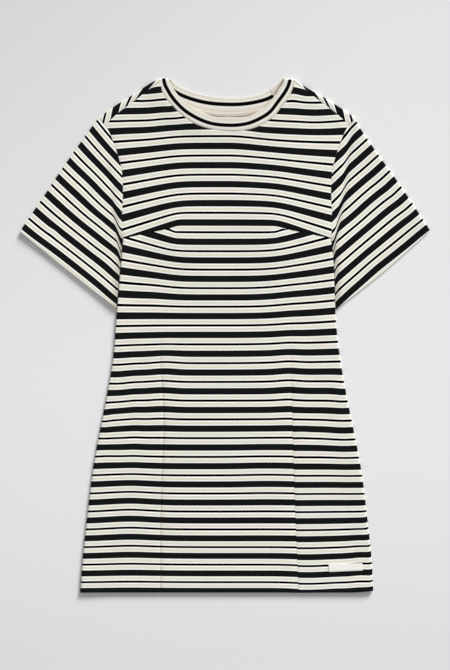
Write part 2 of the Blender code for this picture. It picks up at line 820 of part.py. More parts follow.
def make_neck_tape():
    """Tape on the inside of the back, below the neckband's seam."""
    surface = Surface()
    rows = []
    bottom = CLOTH + SEAM_GAP
    top = bottom + TAPE_THICKNESS
    for angle in np.linspace(TAPE_ENDS, math.pi - TAPE_ENDS, 19):
        upper = neck_curve("back_seam", angle, SEAM_GAP)
        lower = neck_curve("back_seam", angle, SEAM_GAP + TAPE_WIDTH)
        rows.append([
            surface.corner((lower[0], lower[1], top), TAPE_THICKNESS),
            surface.corner((upper[0], upper[1], top), TAPE_THICKNESS),
        ])
    surface.patch(rows)
    return surface.wall("neck_tape", TAPE_CREAM)


def make_label(front):
    """Label on the front, laid on the cloth's own face and moved out from it."""
    tree = BVHTree.FromObject(front, bpy.context.evaluated_depsgraph_get())
    surface = Surface()
    turn = np.array([
        [math.cos(LABEL_TURN), -math.sin(LABEL_TURN)],
        [math.sin(LABEL_TURN), math.cos(LABEL_TURN)],
    ])
    rows = []
    for down in (-0.5, 0.0, 0.5):
        row = []
        for across in np.linspace(-0.5, 0.5, 7):
            plan = turn @ (np.array([across, down]) * LABEL_SIZE) + LABEL_CENTRE
            above = Vector((plan[0], plan[1], ABOVE_THE_CLOTH)) * MILLIMETRE
            hit = tree.ray_cast(above, Vector((0.0, 0.0, -1.0)))[0]
            z = hit.z / MILLIMETRE + LABEL_CLEARANCE + LABEL_THICKNESS
            row.append(surface.corner((plan[0], plan[1], z), LABEL_THICKNESS))
        rows.append(row)
    surface.patch(rows)
    return surface.wall("hem_label", LABEL_CREAM)


# ---------------------------------------------------------------- the dress

def centre_on_origin(pieces):
    """Put the middle of the dress's plan over the origin, with its underside on z = 0."""
    corners = np.array([tuple(v.co) for piece in pieces for v in piece.data.vertices])
    low, high = corners.min(axis=0), corners.max(axis=0)
    shift = Vector((-(low[0] + high[0]) / 2, -(low[1] + high[1]) / 2, -low[2]))
    for piece in pieces:
        for vertex in piece.data.vertices:
            vertex.co += shift


for old in list(bpy.data.objects):
    bpy.data.objects.remove(old, do_unlink=True)

front = make_front()
dress = [
    front,
    make_back(),
    make_sleeve("left"),
    make_sleeve("right"),
    make_neckband(),
    make_neck_tape(),
    make_label(front),
]
centre_on_origin(dress)
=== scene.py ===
"""A t-shirt dress in heavy striped knit, laid flat with its front up and seen from straight above.

The sections give their lengths in millimetres in the plan of the dress: x across from the centre front,
y up from the hem, z up from the floor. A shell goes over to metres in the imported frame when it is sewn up.
"""

import math

import bmesh
import bpy
import numpy as np
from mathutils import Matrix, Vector
from mathutils.bvhtree import BVHTree


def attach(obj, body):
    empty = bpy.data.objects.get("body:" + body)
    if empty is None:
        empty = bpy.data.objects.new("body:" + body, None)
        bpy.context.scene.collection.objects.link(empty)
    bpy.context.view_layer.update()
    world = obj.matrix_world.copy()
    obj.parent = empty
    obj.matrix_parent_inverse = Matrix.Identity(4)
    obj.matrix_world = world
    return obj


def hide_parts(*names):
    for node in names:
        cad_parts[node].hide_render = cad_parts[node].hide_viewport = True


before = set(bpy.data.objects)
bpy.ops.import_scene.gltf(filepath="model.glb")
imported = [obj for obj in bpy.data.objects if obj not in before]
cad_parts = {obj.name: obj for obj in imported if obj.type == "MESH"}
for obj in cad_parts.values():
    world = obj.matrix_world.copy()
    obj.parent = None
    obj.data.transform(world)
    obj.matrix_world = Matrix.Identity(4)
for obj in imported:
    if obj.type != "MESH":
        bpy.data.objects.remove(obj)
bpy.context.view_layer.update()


# ---------------------------------------------------------------- front
# The front is one cut piece of heavy knit with a wide and a narrow black stripe in each repeat. Two bust
# darts run in from the armholes' lower ends and two long ones run down from the waist to the hem. They are
# sewn on the inside and pressed, so each shows as a fine furrow where the stripes meet at an angle.

ORIGIN = (3.5, -431.1, 0.0)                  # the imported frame's shift from the plan of the dress
CLOTH, HEM_CLOTH = 1.5, 2.2                  # one layer of the knit, and where it is turned up and pressed
HEM_TURN, CUFF_TURN = 25.0, 20.0             # depth of the turned hem and cuffs
SEAM_GAP = 0.36                              # between two pieces that are sewn together
UNDERARM_GAP = 0.6                           # between a sleeve and the side seam below the armpit
FOLD_RADIUS = 3.0                            # where the cloth rolls round an edge
REST_HEIGHT = 4.6                            # top of the upper layer where it rests on the lower one
RIM_LIFT, RIM_REACH = 1.4, 28.0              # extra height beside a rolled edge, and how far it reaches
TURN_LIFT = 1.4                              # over the turned hem
CUFF_LIFT = {"left": 1.3, "right": -1.7}     # over the turned cuffs
NECK_LIFT, NECK_REACH = 2.2, 22.0            # beside the neckband
BUST_LIFT = 2.2                              # fullness that the darts leave
BUST_APEX, BUST_REACH = (78.0, 596.0), (58.0, 70.0)
FURROW_DEPTH, FURROW_HALF_WIDTH = 0.8, 2.4   # of a sewn dart
SEAM_DIP, SEAM_DIP_REACH = 0.55, 2.2         # how far the cloth sinks into its seams
NECK_DIP_SHARE = 0.4                         # as a share of that, into the neck seam

SIDES = {"left": -1.0, "right": 1.0}
SIDE_COLUMN = {"left": 1, "right": 2}

ARMPIT_HEIGHT = 593.6
SIDE_SEAM = (
    # height, distance from the centre on the left and on the right
    (0.0, 246.5, 245.5), (60.0, 242.0, 242.5), (146.0, 232.5, 233.0), (210.0, 224.5, 224.5), (270.0, 213.5, 213.0),
    (331.0, 201.5, 200.5), (395.0, 191.0, 189.5), (460.0, 186.0, 182.5), (555.0, 178.0, 178.5),
    (ARMPIT_HEIGHT, 174.5, 174.5),
)
ARMHOLE = (
    # height, distance from the centre
    (ARMPIT_HEIGHT, 174.5), (625.0, 176.0), (671.0, 174.5), (705.0, 176.0), (727.0, 181.0), (755.5, 190.5),
    (780.0, 201.5), (795.5, 216.0),
)
NECK_POINT, SLEEVE_HEAD = (112.5, 862.0), (216.0, 795.5)
FORWARD_SEAM = (
    # distance from the centre, height
    (112.0, 856.0), (134.5, 840.4), (155.0, 824.8), (171.0, 812.7), (184.0, 803.0), (204.0, 784.0),
)
CUFFS = {
    # distance and height of the top corner, height of the lower corner, bow
    "left": (346.5, 604.8, 476.6, 0.6),
    "right": (339.5, 607.3, 475.8, 4.0),
}

NECK_CURVES = {
    # half width, depth and squareness
    "front_seam": (112.5, 87.5, 1.9),
    "front_edge": (96.0, 65.5, 1.7),
    "back_seam": (112.5, 55.0, 1.9),
    "back_edge": (96.0, 33.0, 1.8),
}
NECK_LIE = {
    # degrees round from the right neck point, how far it lies to the right and how far down
    "front_seam": (
        (0, 0.0, 0.0), (23, 0.0, 0.0), (30, -1.0, 0.0), (37, -0.3, 0.0), (44, 2.5, 0.0), (56, 5.0, 0.8),
        (68, 6.0, 2.0), (77, 4.5, 2.1), (84, 3.0, 1.5), (92, 1.5, 0.5), (104, 0.0, 0.3), (118, 0.0, 0.6),
        (128, 1.5, 0.3), (137, 2.3, 0.0), (144, 2.8, 0.0), (150, 1.8, 0.0), (158, 0.0, 0.0), (180, 0.0, 0.0),
    ),
    "front_edge": (
        (0, 0.0, 0.0), (10, -1.4, 0.0), (22, -2.6, 0.0), (32, -1.1, 0.0), (40, 1.4, 0.0), (50, 5.6, 0.2),
        (60, 5.6, 2.0), (70, 4.8, 3.2), (80, 3.0, 1.2), (90, 1.0, -0.7), (104, 0.0, 1.3), (118, 0.0, 0.5),
        (134, 0.0, 0.0), (147, -0.2, 0.0), (154, 0.3, 0.0), (163, 0.8, 0.0), (170, 0.1, 0.0), (175, -1.3, 0.0),
        (180, -3.0, 0.0),
    ),
    "back_seam": ((0, 0.0, 0.0), (40, 0.5, 0.9), (66, 0.5, 1.0), (90, 0.0, 0.4), (110, 0.0, 0.0), (180, 0.0, 0.0)),
    "back_edge": (
        (0, -1.5, 0.0), (12, -4.2, 0.0), (20, -4.6, 0.0), (27, -5.2, 0.0), (36, -2.9, 0.0), (44, -1.2, 0.6),
        (50, 0.0, 1.4), (64, 0.0, 1.4), (78, 0.0, 1.0), (92, 0.0, 0.0), (110, 0.0, -0.5), (122, 0.0, -1.4),
        (132, 0.8, -1.6), (142, 3.4, -0.6), (150, 4.2, 0.0), (162, 3.6, 0.0), (172, 2.4, 0.0), (180, 0.6, 0.0),
    ),
}
NECK_CORNER_DROP = 6.0                       # the front's neck corners lie this far below the neck points
NECK_EASE = 0.15                             # rounds the very middle of the neck curves

DART_TIP = {"left": (82.0, 613.4), "right": (77.5, 613.7)}
LONG_DART = (
    # height, distance from the centre on the left and on the right
    (0.0, 111.0, 119.5), (150.0, 110.0, 113.5), (289.0, 105.5, 109.0), (438.0, 110.0, 104.8), (613.5, 82.0, 77.5),
)
LONG_DART_TOP, LONG_DART_FADE = 438.0, 90.0  # their furrows reach full depth this far below their top
LONG_DART_SHADE, LONG_DART_SHADE_REACH = {"left": 0.45, "right": 0.16}, 0.8


def unit(vector):
    return vector / np.linalg.norm(vector)


def through(table, column):
    """A smooth curve through a table, read by its first column."""
    rows = np.array(table)
    keys, values = rows[:, 0], rows[:, column]
    slopes = np.gradient(values, keys)
    slopes[1:-1] = (values[2:] - values[:-2]) / (keys[2:] - keys[:-2])

    def curve(key):
        key = np.asarray(key, dtype=float)
        i = np.clip(np.searchsorted(keys, key) - 1, 0, len(keys) - 2)
        span = keys[i + 1] - keys[i]
        t = np.clip((key - keys[i]) / span, 0.0, 1.0)
        return (
            values[i] * (2 * t**3 - 3 * t**2 + 1)
            + values[i + 1] * (3 * t**2 - 2 * t**3)
            + span * slopes[i] * (t**3 - 2 * t**2 + t)
            + span * slopes[i + 1] * (t**3 - t**2)
        )

    return curve


class Path:
    """A line in the plan, read by the length run along it."""

    def __init__(self, points):
        self.points = np.array(points, dtype=float)
        steps = np.linalg.norm(np.diff(self.points, axis=0), axis=1)
        self.runs = np.concatenate([[0.0], np.cumsum(steps)])
        self.length = float(self.runs[-1])

    def at(self, run):
        return np.stack([np.interp(run, self.runs, self.points[:, k]) for k in (0, 1)], axis=-1)

    def distance(self, plan):
        """Shortest distance from each point to the line."""
        nearest = np.full(plan.shape[:-1], np.inf)
        for start, end in zip(self.points[:-1], self.points[1:]):
            span = end - start
            share = np.clip((plan - start) @ span / (span @ span), 0.0, 1.0)
            nearest = np.minimum(nearest, np.linalg.norm(plan - start - share[..., None] * span, axis=-1))
        return nearest


def neck_curve(name, angle, outset=0.0):
    """Point of a neck curve; the angle runs from the right neck point (0) to the left one (pi)."""
    half_width, depth, squareness = NECK_CURVES[name]
    power = 2.0 / squareness
    turn = np.cos(angle)
    across = turn * ((turn**2 + NECK_EASE) / (1.0 + NECK_EASE)) ** ((power - 1.0) / 2)
    down = np.maximum(np.sin(angle), 0.0) ** power
    to_right, sag = (through(NECK_LIE[name], column)(np.degrees(angle)) for column in (1, 2))
    x = (half_width + outset) * across + to_right
    return np.stack([x, NECK_POINT[1] - (depth + outset) * down - sag], axis=-1)


def angle_below(drop):
    """Angle from a neck point at which the front neck seam has come down by a drop."""
    depth, squareness = NECK_CURVES["front_seam"][1:]
    return math.asin((drop / depth) ** (squareness / 2))


def neck_angle(share):
    """Angle round the neck for a share of the way from the left corner of the front to the right one."""
    corner = angle_below(NECK_CORNER_DROP)
    return math.pi - corner - share * (math.pi - 2 * corner)


def neck_corner(zone):
    """Where the front's neckline ends on the left or the right."""
    return neck_curve("front_seam", neck_angle(0.0 if zone == "left" else 1.0), SEAM_GAP)


def mirrored(side, x, y):
    return np.stack(np.broadcast_arrays(SIDES[side] * x, y), axis=-1)


def cuff_corners(side):
    top_distance, top_height, low_height, _ = CUFFS[side]
    low_distance = through(SIDE_SEAM, SIDE_COLUMN[side])(low_height) + UNDERARM_GAP
    return mirrored(side, top_distance, top_height), mirrored(side, low_distance, low_height)


def cuff_line(side):
    """Edge of a cuff, a shallow bow from its top corner to its lower corner."""
    top, low = cuff_corners(side)
    along = unit(low - top)
    outwards = np.array([along[1], -along[0]]) * -SIDES[side]
    shares = np.linspace(0.0, 1.0, 40)[:, None]
    return Path(top + (low - top) * shares + outwards * CUFFS[side][3] * 4 * shares * (1 - shares))


SIDE_LINE, ARMHOLE_LINE, UNDERARM_LINE, FORWARD_LINE = {}, {}, {}, {}
SHOULDER_LINE, SLEEVE_FOLD, CUFF_LINE, LONG_LINE, BUST_LINE = {}, {}, {}, {}, {}
for side, sign in SIDES.items():
    seam = through(SIDE_SEAM, SIDE_COLUMN[side])
    falling = np.linspace(ARMPIT_HEIGHT, 0.0, 120)
    SIDE_LINE[side] = Path(mirrored(side, seam(falling), falling))
    falling = np.linspace(SLEEVE_HEAD[1], ARMPIT_HEIGHT, 240)
    ARMHOLE_LINE[side] = Path(mirrored(side, through(ARMHOLE, 1)(falling), falling))
    falling = np.linspace(ARMPIT_HEIGHT, CUFFS[side][2], 30)
    UNDERARM_LINE[side] = Path(mirrored(side, seam(falling) + UNDERARM_GAP, falling))
    across = np.linspace(FORWARD_SEAM[-1][0], FORWARD_SEAM[0][0], 60)
    FORWARD_LINE[side] = Path(mirrored(side, across, through(FORWARD_SEAM, 1)(across)))
    head = (sign * SLEEVE_HEAD[0], SLEEVE_HEAD[1])
    SHOULDER_LINE[side] = Path([head, (sign * NECK_POINT[0], NECK_POINT[1])])
    SLEEVE_FOLD[side] = Path([head, cuff_corners(side)[0]])
    CUFF_LINE[side] = cuff_line(side)
    rising = np.linspace(0.0, LONG_DART_TOP, 60)
    LONG_LINE[side] = Path(mirrored(side, through(LONG_DART, SIDE_COLUMN[side])(rising), rising))
    armpit = (sign * ARMHOLE[0][1], ARMPIT_HEIGHT)
    BUST_LINE[side] = Path([armpit, (sign * DART_TIP[side][0], DART_TIP[side][1])])

NECK_LINE = Path(neck_curve("front_seam", np.linspace(0.0, math.pi, 160)))
ARMHOLE_LENGTH = ARMHOLE_LINE["right"].length
FORWARD_RUN = math.dist(SLEEVE_HEAD, FORWARD_SEAM[-1])


def bell(distance, reach):
    return np.exp(-((distance / reach) ** 2))


def nearer(lines, plan):
    """Distance to the nearest of a pair of lines, one on each side of the dress."""
    return np.minimum(lines["left"].distance(plan), lines["right"].distance(plan))


def upper_height(plan):
    """Height of the upper layer's outer face, away from the rolled edges themselves."""
    x, y = plan[..., 0], plan[..., 1]
    folds = np.minimum(np.minimum(nearer(SIDE_LINE, plan), nearer(SHOULDER_LINE, plan)), nearer(SLEEVE_FOLD, plan))
    height = REST_HEIGHT + RIM_LIFT * bell(folds, RIM_REACH)
    height = height + TURN_LIFT * bell(np.maximum(y - HEM_TURN * 0.5, 0.0), HEM_TURN)
    for side, line in CUFF_LINE.items():
        height = height + CUFF_LIFT[side] * bell(line.distance(plan), CUFF_TURN)

    half_width, depth, squareness = NECK_CURVES["front_seam"]
    down = np.maximum(NECK_POINT[1] - y, 0.0)
    ring = ((np.abs(x) / half_width) ** squareness + (down / depth) ** squareness) ** (1 / squareness)
    height = height + NECK_LIFT * bell(np.maximum(ring - 1.0, 0.0) * depth, NECK_REACH)

    away = np.hypot((np.abs(x) - BUST_APEX[0]) / BUST_REACH[0], (y - BUST_APEX[1]) / BUST_REACH[1])
    return height + BUST_LIFT * bell(away, 1.0)


def seam_dip(plan):
    """The cloth sinks a little into every seam that it is sewn into."""
    seams = np.minimum(nearer(ARMHOLE_LINE, plan), nearer(FORWARD_LINE, plan))
    at_neck = NECK_DIP_SHARE * bell(NECK_LINE.distance(plan), SEAM_DIP_REACH)
    return SEAM_DIP * np.maximum(bell(seams, SEAM_DIP_REACH), at_neck)


def roll(off_edge, radius=FOLD_RADIUS):
    """Share of its full height that a layer has reached at a distance from its rolled edge."""
    share = np.clip(off_edge / radius, 0.0, 1.0)
    return np.sqrt(np.maximum(1.0 - (1.0 - share) ** 2, 0.0))


def upper_z(plan, off_edge=FOLD_RADIUS):
    top = upper_height(plan) - seam_dip(plan)
    return FOLD_RADIUS + (top - FOLD_RADIUS) * roll(off_edge)


def lower_z(off_edge=FOLD_RADIUS):
    return FOLD_RADIUS * (1.0 - roll(off_edge))


def half_gap(off_edge):
    """Half of the side seam's gap, at its very edge."""
    return 0.5 * SEAM_GAP * (off_edge == 0.0)


def with_height(plan, z):
    return np.concatenate([plan, np.broadcast_to(z, plan.shape[:-1])[..., None]], axis=-1)


# Stripes, counted from the one at waist height; a wide one lies at each whole count, a narrow one between
STRIPE_HEIGHTS = (
    # count, height at the centre front
    (-16, -26.2), (-14, 32.0), (-12, 90.7), (-10, 150.7), (-8, 211.7), (-6, 274.5), (-4, 337.3), (-2, 400.2),
    (0, 463.5), (2, 525.8), (4, 587.9), (6, 652.9), (8, 716.6), (10, 781.2), (12, 845.9), (14, 910.6),
)
DART_COUNT = 4.0                             # the stripe that the bust darts meet
FALL = (84.0, 11.8)                          # how far out most stripes start to fall, and how softly
SHARP_LEFT, SHARP_RIGHT = (83.0, 3.0), (87.0, 6.0)
STRIPE_FALLS = {
    # count, how steeply the stripe falls towards the side, how far out that starts and how softly
    ("left", "below"): (
        (-6, 0.0, *FALL), (-2, 0.01, *FALL), (-1, 0.015, *FALL), (0, -0.005, *FALL), (1, -0.06, *FALL),
        (2, -0.145, *FALL), (3, -0.22, *FALL), (3.5, -0.30, 93.5, 10.0), (4, -0.325, 90.5, 6.5),
        (4.5, -0.36, 86.0, 4.5), (5, -0.38, 84.0, 4.0),
    ),
    ("right", "below"): (
        (-6, 0.0, *FALL), (-4, -0.01, *FALL), (-2, -0.035, *FALL), (-1, -0.055, *FALL), (0, -0.09, *FALL),
        (1, -0.13, *FALL), (2, -0.165, *FALL), (3, -0.225, *FALL), (4, -0.295, *FALL), (4.5, -0.22, 73.0, 5.0),
        (5, -0.22, 73.0, 4.0),
    ),
    ("left", "above"): (
        (4, 0.36, *SHARP_LEFT), (5, 0.34, *SHARP_LEFT), (5.5, 0.307, 83.5, 6.0), (6, 0.275, *FALL),
        (7, 0.21, *FALL), (8, 0.155, *FALL), (9, 0.11, *FALL), (10, 0.075, *FALL), (12, 0.065, *FALL),
    ),
    ("right", "above"): (
        (4, 0.375, *SHARP_RIGHT), (5, 0.357, *SHARP_RIGHT), (5.5, 0.31, 86.0, 9.0), (6, 0.265, *FALL),
        (7, 0.195, *FALL), (8, 0.132, *FALL), (9, 0.05, *FALL), (10, 0.003, *FALL), (12, 0.0, *FALL),
    ),
}
RIGHT_ARC = (
    # count, share of the drop by which the stripe bows down on its way to the right
    (4, 0.0), (5, 0.1), (6, 0.22), (7, 0.44), (8, 0.63), (9, 0.95), (10, 1.0), (12, 0.9),
)
ARC_DROP, ARC_REACH = 8.4, 70.0
DART_BLEND = 14.0                            # past a dart's tip its two sides part over this length
STRIPE_WAVES = (
    # x, y, reach across, reach up, how far the stripes are lifted
    (-110.0, 335.0, 24.0, 62.0, 2.0), (-186.0, 350.0, 24.0, 66.0, -2.3), (-208.0, 295.0, 16.0, 30.0, -2.4),
    (-164.0, 145.0, 44.0, 92.0, 2.8), (103.0, 360.0, 22.0, 80.0, 2.0), (192.0, 270.0, 28.0, 50.0, -2.1),
    (140.0, 20.0, 36.0, 66.0, -1.9), (226.0, 45.0, 18.0, 48.0, 2.2), (-130.0, 808.0, 37.0, 58.0, -2.4),
    (99.0, 505.0, 42.0, 56.0, 2.0), (-121.0, 507.0, 30.0, 34.0, 1.1), (-100.0, 388.0, 22.0, 26.0, 1.3),
    (85.0, 395.0, 48.0, 60.0, 0.8), (67.0, 205.0, 46.0, 70.0, 1.1), (-150.0, 75.0, 70.0, 80.0, 0.7),
    (193.0, 340.0, 12.0, 30.0, -1.5), (218.0, 95.0, 26.0, 40.0, 0.9), (112.0, 846.0, 12.0, 24.0, 2.8),
    (136.0, 838.0, 14.0, 14.0, -1.3), (-97.0, 816.0, 10.0, 12.0, -1.3), (60.0, 779.0, 20.0, 12.0, -1.1),
    (146.0, 800.0, 22.0, 30.0, -1.2), (198.0, 794.0, 16.0, 28.0, 1.8), (-27.0, 795.0, 15.0, 15.0, 1.4),
    (-86.0, 795.0, 15.0, 15.0, -1.3), (209.0, 250.0, 24.0, 110.0, -0.6), (-134.0, 847.5, 8.0, 6.0, -3.4),
    (-158.0, 834.0, 12.0, 14.0, 1.2), (-203.0, 795.0, 12.0, 16.0, 1.0), (-109.0, 592.0, 30.0, 14.0, 0.9),
    (-156.0, 285.0, 16.0, 80.0, 0.8), (-206.0, 310.0, 10.0, 50.0, -0.8), (-203.0, 230.0, 18.0, 18.0, 0.9),
    (126.0, 268.0, 14.0, 22.0, 0.7),
)
STEP_DROP, STEP_REACH = 1.1, 70.0            # the stripes step down at the right long dart
STEP_TOP, STEP_RAMP = 345.0, 40.0
CURL_LIFT, CURL_REACH = 2.9, 4.0             # and turn up at the right side, near the hem
CURL_TOP, CURL_RAMP = 170.0, 60.0
HEM_RISE = (
    # x, how far the hem's edge lies above the straight line
    (100.0, 0.0), (122.0, -0.5), (150.0, -0.2), (210.0, 0.0), (222.0, 0.6), (232.0, 1.3), (238.0, 2.2), (243.0, 2.8),
)
HEM_RISE_REACH = 9.0

dense_counts = np.linspace(STRIPE_HEIGHTS[0][0], STRIPE_HEIGHTS[-1][0], 601)
dense_heights = through(STRIPE_HEIGHTS, 1)(dense_counts)
SETTLING_ROUNDS = 12                         # the fall hangs on the count, so both are worked out in turns


def smooth(t):
    t = np.clip(t, 0.0, 1.0)
    return t * t * (3.0 - 2.0 * t)


def fallen(count, side, part, away):
    """How far a stripe has fallen at a distance from the centre front."""
    steepness, start, softness = (through(STRIPE_FALLS[side, part], column)(count) for column in (1, 2, 3))
    return steepness * softness * np.logaddexp(0.0, (away - start) / softness)


def spot(x, y, middle_x, middle_y, across, up):
    """A soft round spot of the given reach across and up."""
    return bell(x - middle_x, across) * bell(y - middle_y, up)


def stripe_count(plan, above):
    """Which stripe runs through each point of the front, above or below the line of the bust darts."""
    x, y = plan[..., 0], plan[..., 1]
    away = np.abs(x)
    lift = np.zeros_like(x)
    for *where, amount in STRIPE_WAVES:
        lift = lift + amount * spot(x, y, *where)
    past_dart = x - through(LONG_DART, SIDE_COLUMN["right"])(y)
    step = STEP_DROP * np.exp(-np.maximum(past_dart, 0.0) / STEP_REACH) * smooth(past_dart)
    lift = lift - step * smooth((STEP_TOP - y) / STEP_RAMP)
    curl = CURL_LIFT * np.exp(-SIDE_LINE["right"].distance(plan) / CURL_REACH)
    lift = lift + curl * smooth((CURL_TOP - y) / CURL_RAMP)

    arc = ARC_DROP * (1.0 - bell(away, ARC_REACH)) * (x > 0.0)
    count = np.interp(y, dense_heights, dense_counts)
    for _ in range(SETTLING_ROUNDS):
        fall = through(RIGHT_ARC, 1)(count) * arc
        for side, sign in SIDES.items():
            below, over = (fallen(count, side, part, away) for part in ("below", "above"))
            inside = below + (over - below) * np.clip(count - DART_COUNT, 0.0, 1.0)
            parted = smooth((away - DART_TIP[side][0]) / DART_BLEND)
            fall = fall + (x * sign > 0.0) * (inside + ((over if above else below) - inside) * parted)
        count = np.interp(y - lift + fall, dense_heights, dense_counts)
    return count


def raised_hem(places):
    """The places, with those near the hem moved up as its edge is."""
    rise = through(HEM_RISE, 1)(places[..., 0]) * bell(places[..., 1], HEM_RISE_REACH)
    return places + np.stack([np.zeros_like(rise), rise, np.zeros_like(rise)], axis=-1)


def put(name, data):
    """A new object in the scene, at the origin."""
    piece = bpy.data.objects.new(name, data)
    bpy.context.scene.collection.objects.link(piece)
    return piece


class Shell:
    """A layer of cloth: an outer face of quads, each with the cloth's grain, and a thickness inwards."""

    RIM_SWELL = 0.12                         # how far the middle of a rim stands out, as a share of its depth
    SHARP_ANGLE = math.radians(50.0)

    def __init__(self):
        self.mesh = bmesh.new()
        self.grain = self.mesh.loops.layers.uv.new("grain")
        self.shade = self.mesh.verts.layers.float.new("shade")
        self.corners = {}
        self.thickness = {}
        self.rim_across = {}                 # for corners whose rim stands square to the seam, the way across it

    def corner(self, place, thickness, shade):
        key = tuple(np.round(place, 3))
        if key not in self.corners:
            self.corners[key] = self.mesh.verts.new(place)
        vertex = self.corners[key]
        vertex[self.shade] = shade
        self.thickness[vertex] = thickness
        return vertex

    def patch(self, places, grains, thickness=CLOTH, shade=0.0, closed=False, flip=False):
        """Quads over a grid of places (rows, columns, xyz); the rows run left to right seen from outside."""
        places = raised_hem(places)
        rows, columns = places.shape[:2]
        thickness, shade = (np.broadcast_to(value, (rows, columns)) for value in (thickness, shade))
        grid = [
            [self.corner(places[r, c], thickness[r, c], shade[r, c]) for c in range(columns)]
            for r in range(rows)
        ]
        for r in range(rows - 1):
            for c in range(columns if closed else columns - 1):
                d = (c + 1) % columns
                ring = [(r, c), (r, d), (r + 1, d), (r + 1, c)]
                if flip:
                    ring.reverse()
                # corners that fall together count once
                before = [grid[i][j] for i, j in ring[-1:] + ring[:-1]]
                ring = [(i, j) for (i, j), last in zip(ring, before) if grid[i][j] is not last]
                if len(ring) < 3:
                    continue
                face = self.mesh.faces.new([grid[i][j] for i, j in ring])
                for loop, (i, j) in zip(face.loops, ring):
                    loop[self.grain].uv = grains[i, j]
        return grid

    def square_rims(self, corners, across):
        for vertex in corners:
            self.rim_across[vertex] = across

    def rims(self):
        """Both corners, normal and grain of each open edge, and which way the cloth ends at each corner."""
        loops = [edge.link_loops[0] for edge in self.mesh.edges if edge.is_boundary]
        rims, ends = [], {}
        for loop in loops:
            first, second, normal = loop.vert, loop.link_loop_next.vert, loop.face.normal.copy()
            rims.append((first, second, loop[self.grain].uv.copy()))
            push = (second.co - first.co).cross(normal)
            push.normalize()
            for vertex in (first, second):
                ends[vertex] = ends.get(vertex, Vector()) + push
        return rims, ends

    def copy_corner(self, vertex, place):
        copied = self.mesh.verts.new(place)
        copied[self.shade] = vertex[self.shade]
        return copied

    def thicken(self):
        """Add the inner face and the rims between it and the outer one."""
        outer = list(self.mesh.faces)
        self.mesh.normal_update()
        rims, ends = self.rims()
        inner, middle = {}, {}
        for vertex in list(self.mesh.verts):
            normal, across = vertex.normal.copy(), self.rim_across.get(vertex)
            if across is not None:
                normal -= across * normal.dot(across)
                normal.normalize()
            depth = self.thickness[vertex]
            inner[vertex] = self.copy_corner(vertex, vertex.co - normal * depth)
            if vertex in ends:
                push = ends[vertex]
                push -= normal * push.dot(normal)
                if across is not None:
                    push = Vector()
                elif push.length > 0.0:
                    push.normalize()
                place = vertex.co - normal * depth / 2 + push * (self.RIM_SWELL * depth)
                middle[vertex] = self.copy_corner(vertex, place)
        for face in outer:
            back = self.mesh.faces.new([inner[vertex] for vertex in reversed(face.verts)])
            for loop, front_loop in zip(back.loops, reversed(face.loops)):
                loop[self.grain].uv = front_loop[self.grain].uv
        for first, second, grain in rims:
            for ring in (
                (second, first, middle[first], middle[second]),
                (middle[second], middle[first], inner[first], inner[second]),
            ):
                for loop in self.mesh.faces.new(ring).loops:
                    loop[self.grain].uv = grain

    def sew_up(self, name, finish):
        """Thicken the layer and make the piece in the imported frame."""
        self.thicken()
        for face in self.mesh.faces:
            face.smooth = True
        bmesh.ops.triangulate(self.mesh, faces=self.mesh.faces[:])
        bmesh.ops.translate(self.mesh, vec=ORIGIN, verts=self.mesh.verts)
        bmesh.ops.scale(self.mesh, vec=(0.001,) * 3, verts=self.mesh.verts)
        data = bpy.data.meshes.new(name)
        self.mesh.to_mesh(data)
        self.mesh.free()
        data.set_sharp_from_angle(angle=self.SHARP_ANGLE)
        data.materials.append(finish)
        return put(name, data)


def coons(bottom, top, left, right, u, w):
    """A row of points of the patch between four curves, at the shares u across and w up."""
    across = np.asarray(u)[:, None]
    ruled = (1 - w) * bottom(u) + w * top(u) + (1 - across) * left(w) + across * right(w)
    ends = np.array([0.0, 1.0])
    low, high = bottom(ends), top(ends)
    return ruled - (1 - across) * ((1 - w) * low[0] + w * high[0]) - across * ((1 - w) * low[1] + w * high[1])


ZONES = ("left", "centre", "right")
ZONE_WIDTH = 100.0                           # nominal width of a side zone, for the fine columns at its edge
ROLL_STOPS = np.array([0.0, 0.12, 0.4, 0.9, 1.5, 2.2, FOLD_RADIUS])
side_shares = np.concatenate([ROLL_STOPS / ZONE_WIDTH, np.linspace(0.065, 0.955, 19), [0.98, 0.992, 1.0]])
ZONE_SHARES = {
    "left": side_shares,
    "centre": np.concatenate([[0.0, 0.004, 0.012], np.linspace(0.03, 0.97, 37), [0.988, 0.996, 1.0]]),
    "right": side_shares[::-1],
}
ROWS_TOP = 617.5
ROWS_BELOW_DARTS = np.concatenate([
    [0.0, 0.8, 2.5, 6.0, 11.0, 16.0, 20.0, 23.0, 24.6, 26.0, 29.0, 34.0],
    np.arange(40.0, 611.0, 5.5),
    [614.0],
]) / ROWS_TOP
ROWS_ABOVE_DARTS = np.concatenate([[0.0, 0.012, 0.03], np.linspace(0.055, 0.965, 38), [0.99, 1.0]])


def straight(start, end):
    """The line from start to end, read by the share of the way along it."""
    return lambda share: start + (end - start) * share


def dart_row(zone, share):
    """The line of the bust darts: up from each armpit to the dart's tip and straight across."""
    tips = {side: mirrored(side, *DART_TIP[side]) for side in SIDES}
    start = tips["left"] if zone == "centre" else mirrored(zone, ARMHOLE[0][1], ARMPIT_HEIGHT)
    return straight(start, tips["right" if zone == "centre" else zone])(np.asarray(share)[:, None])


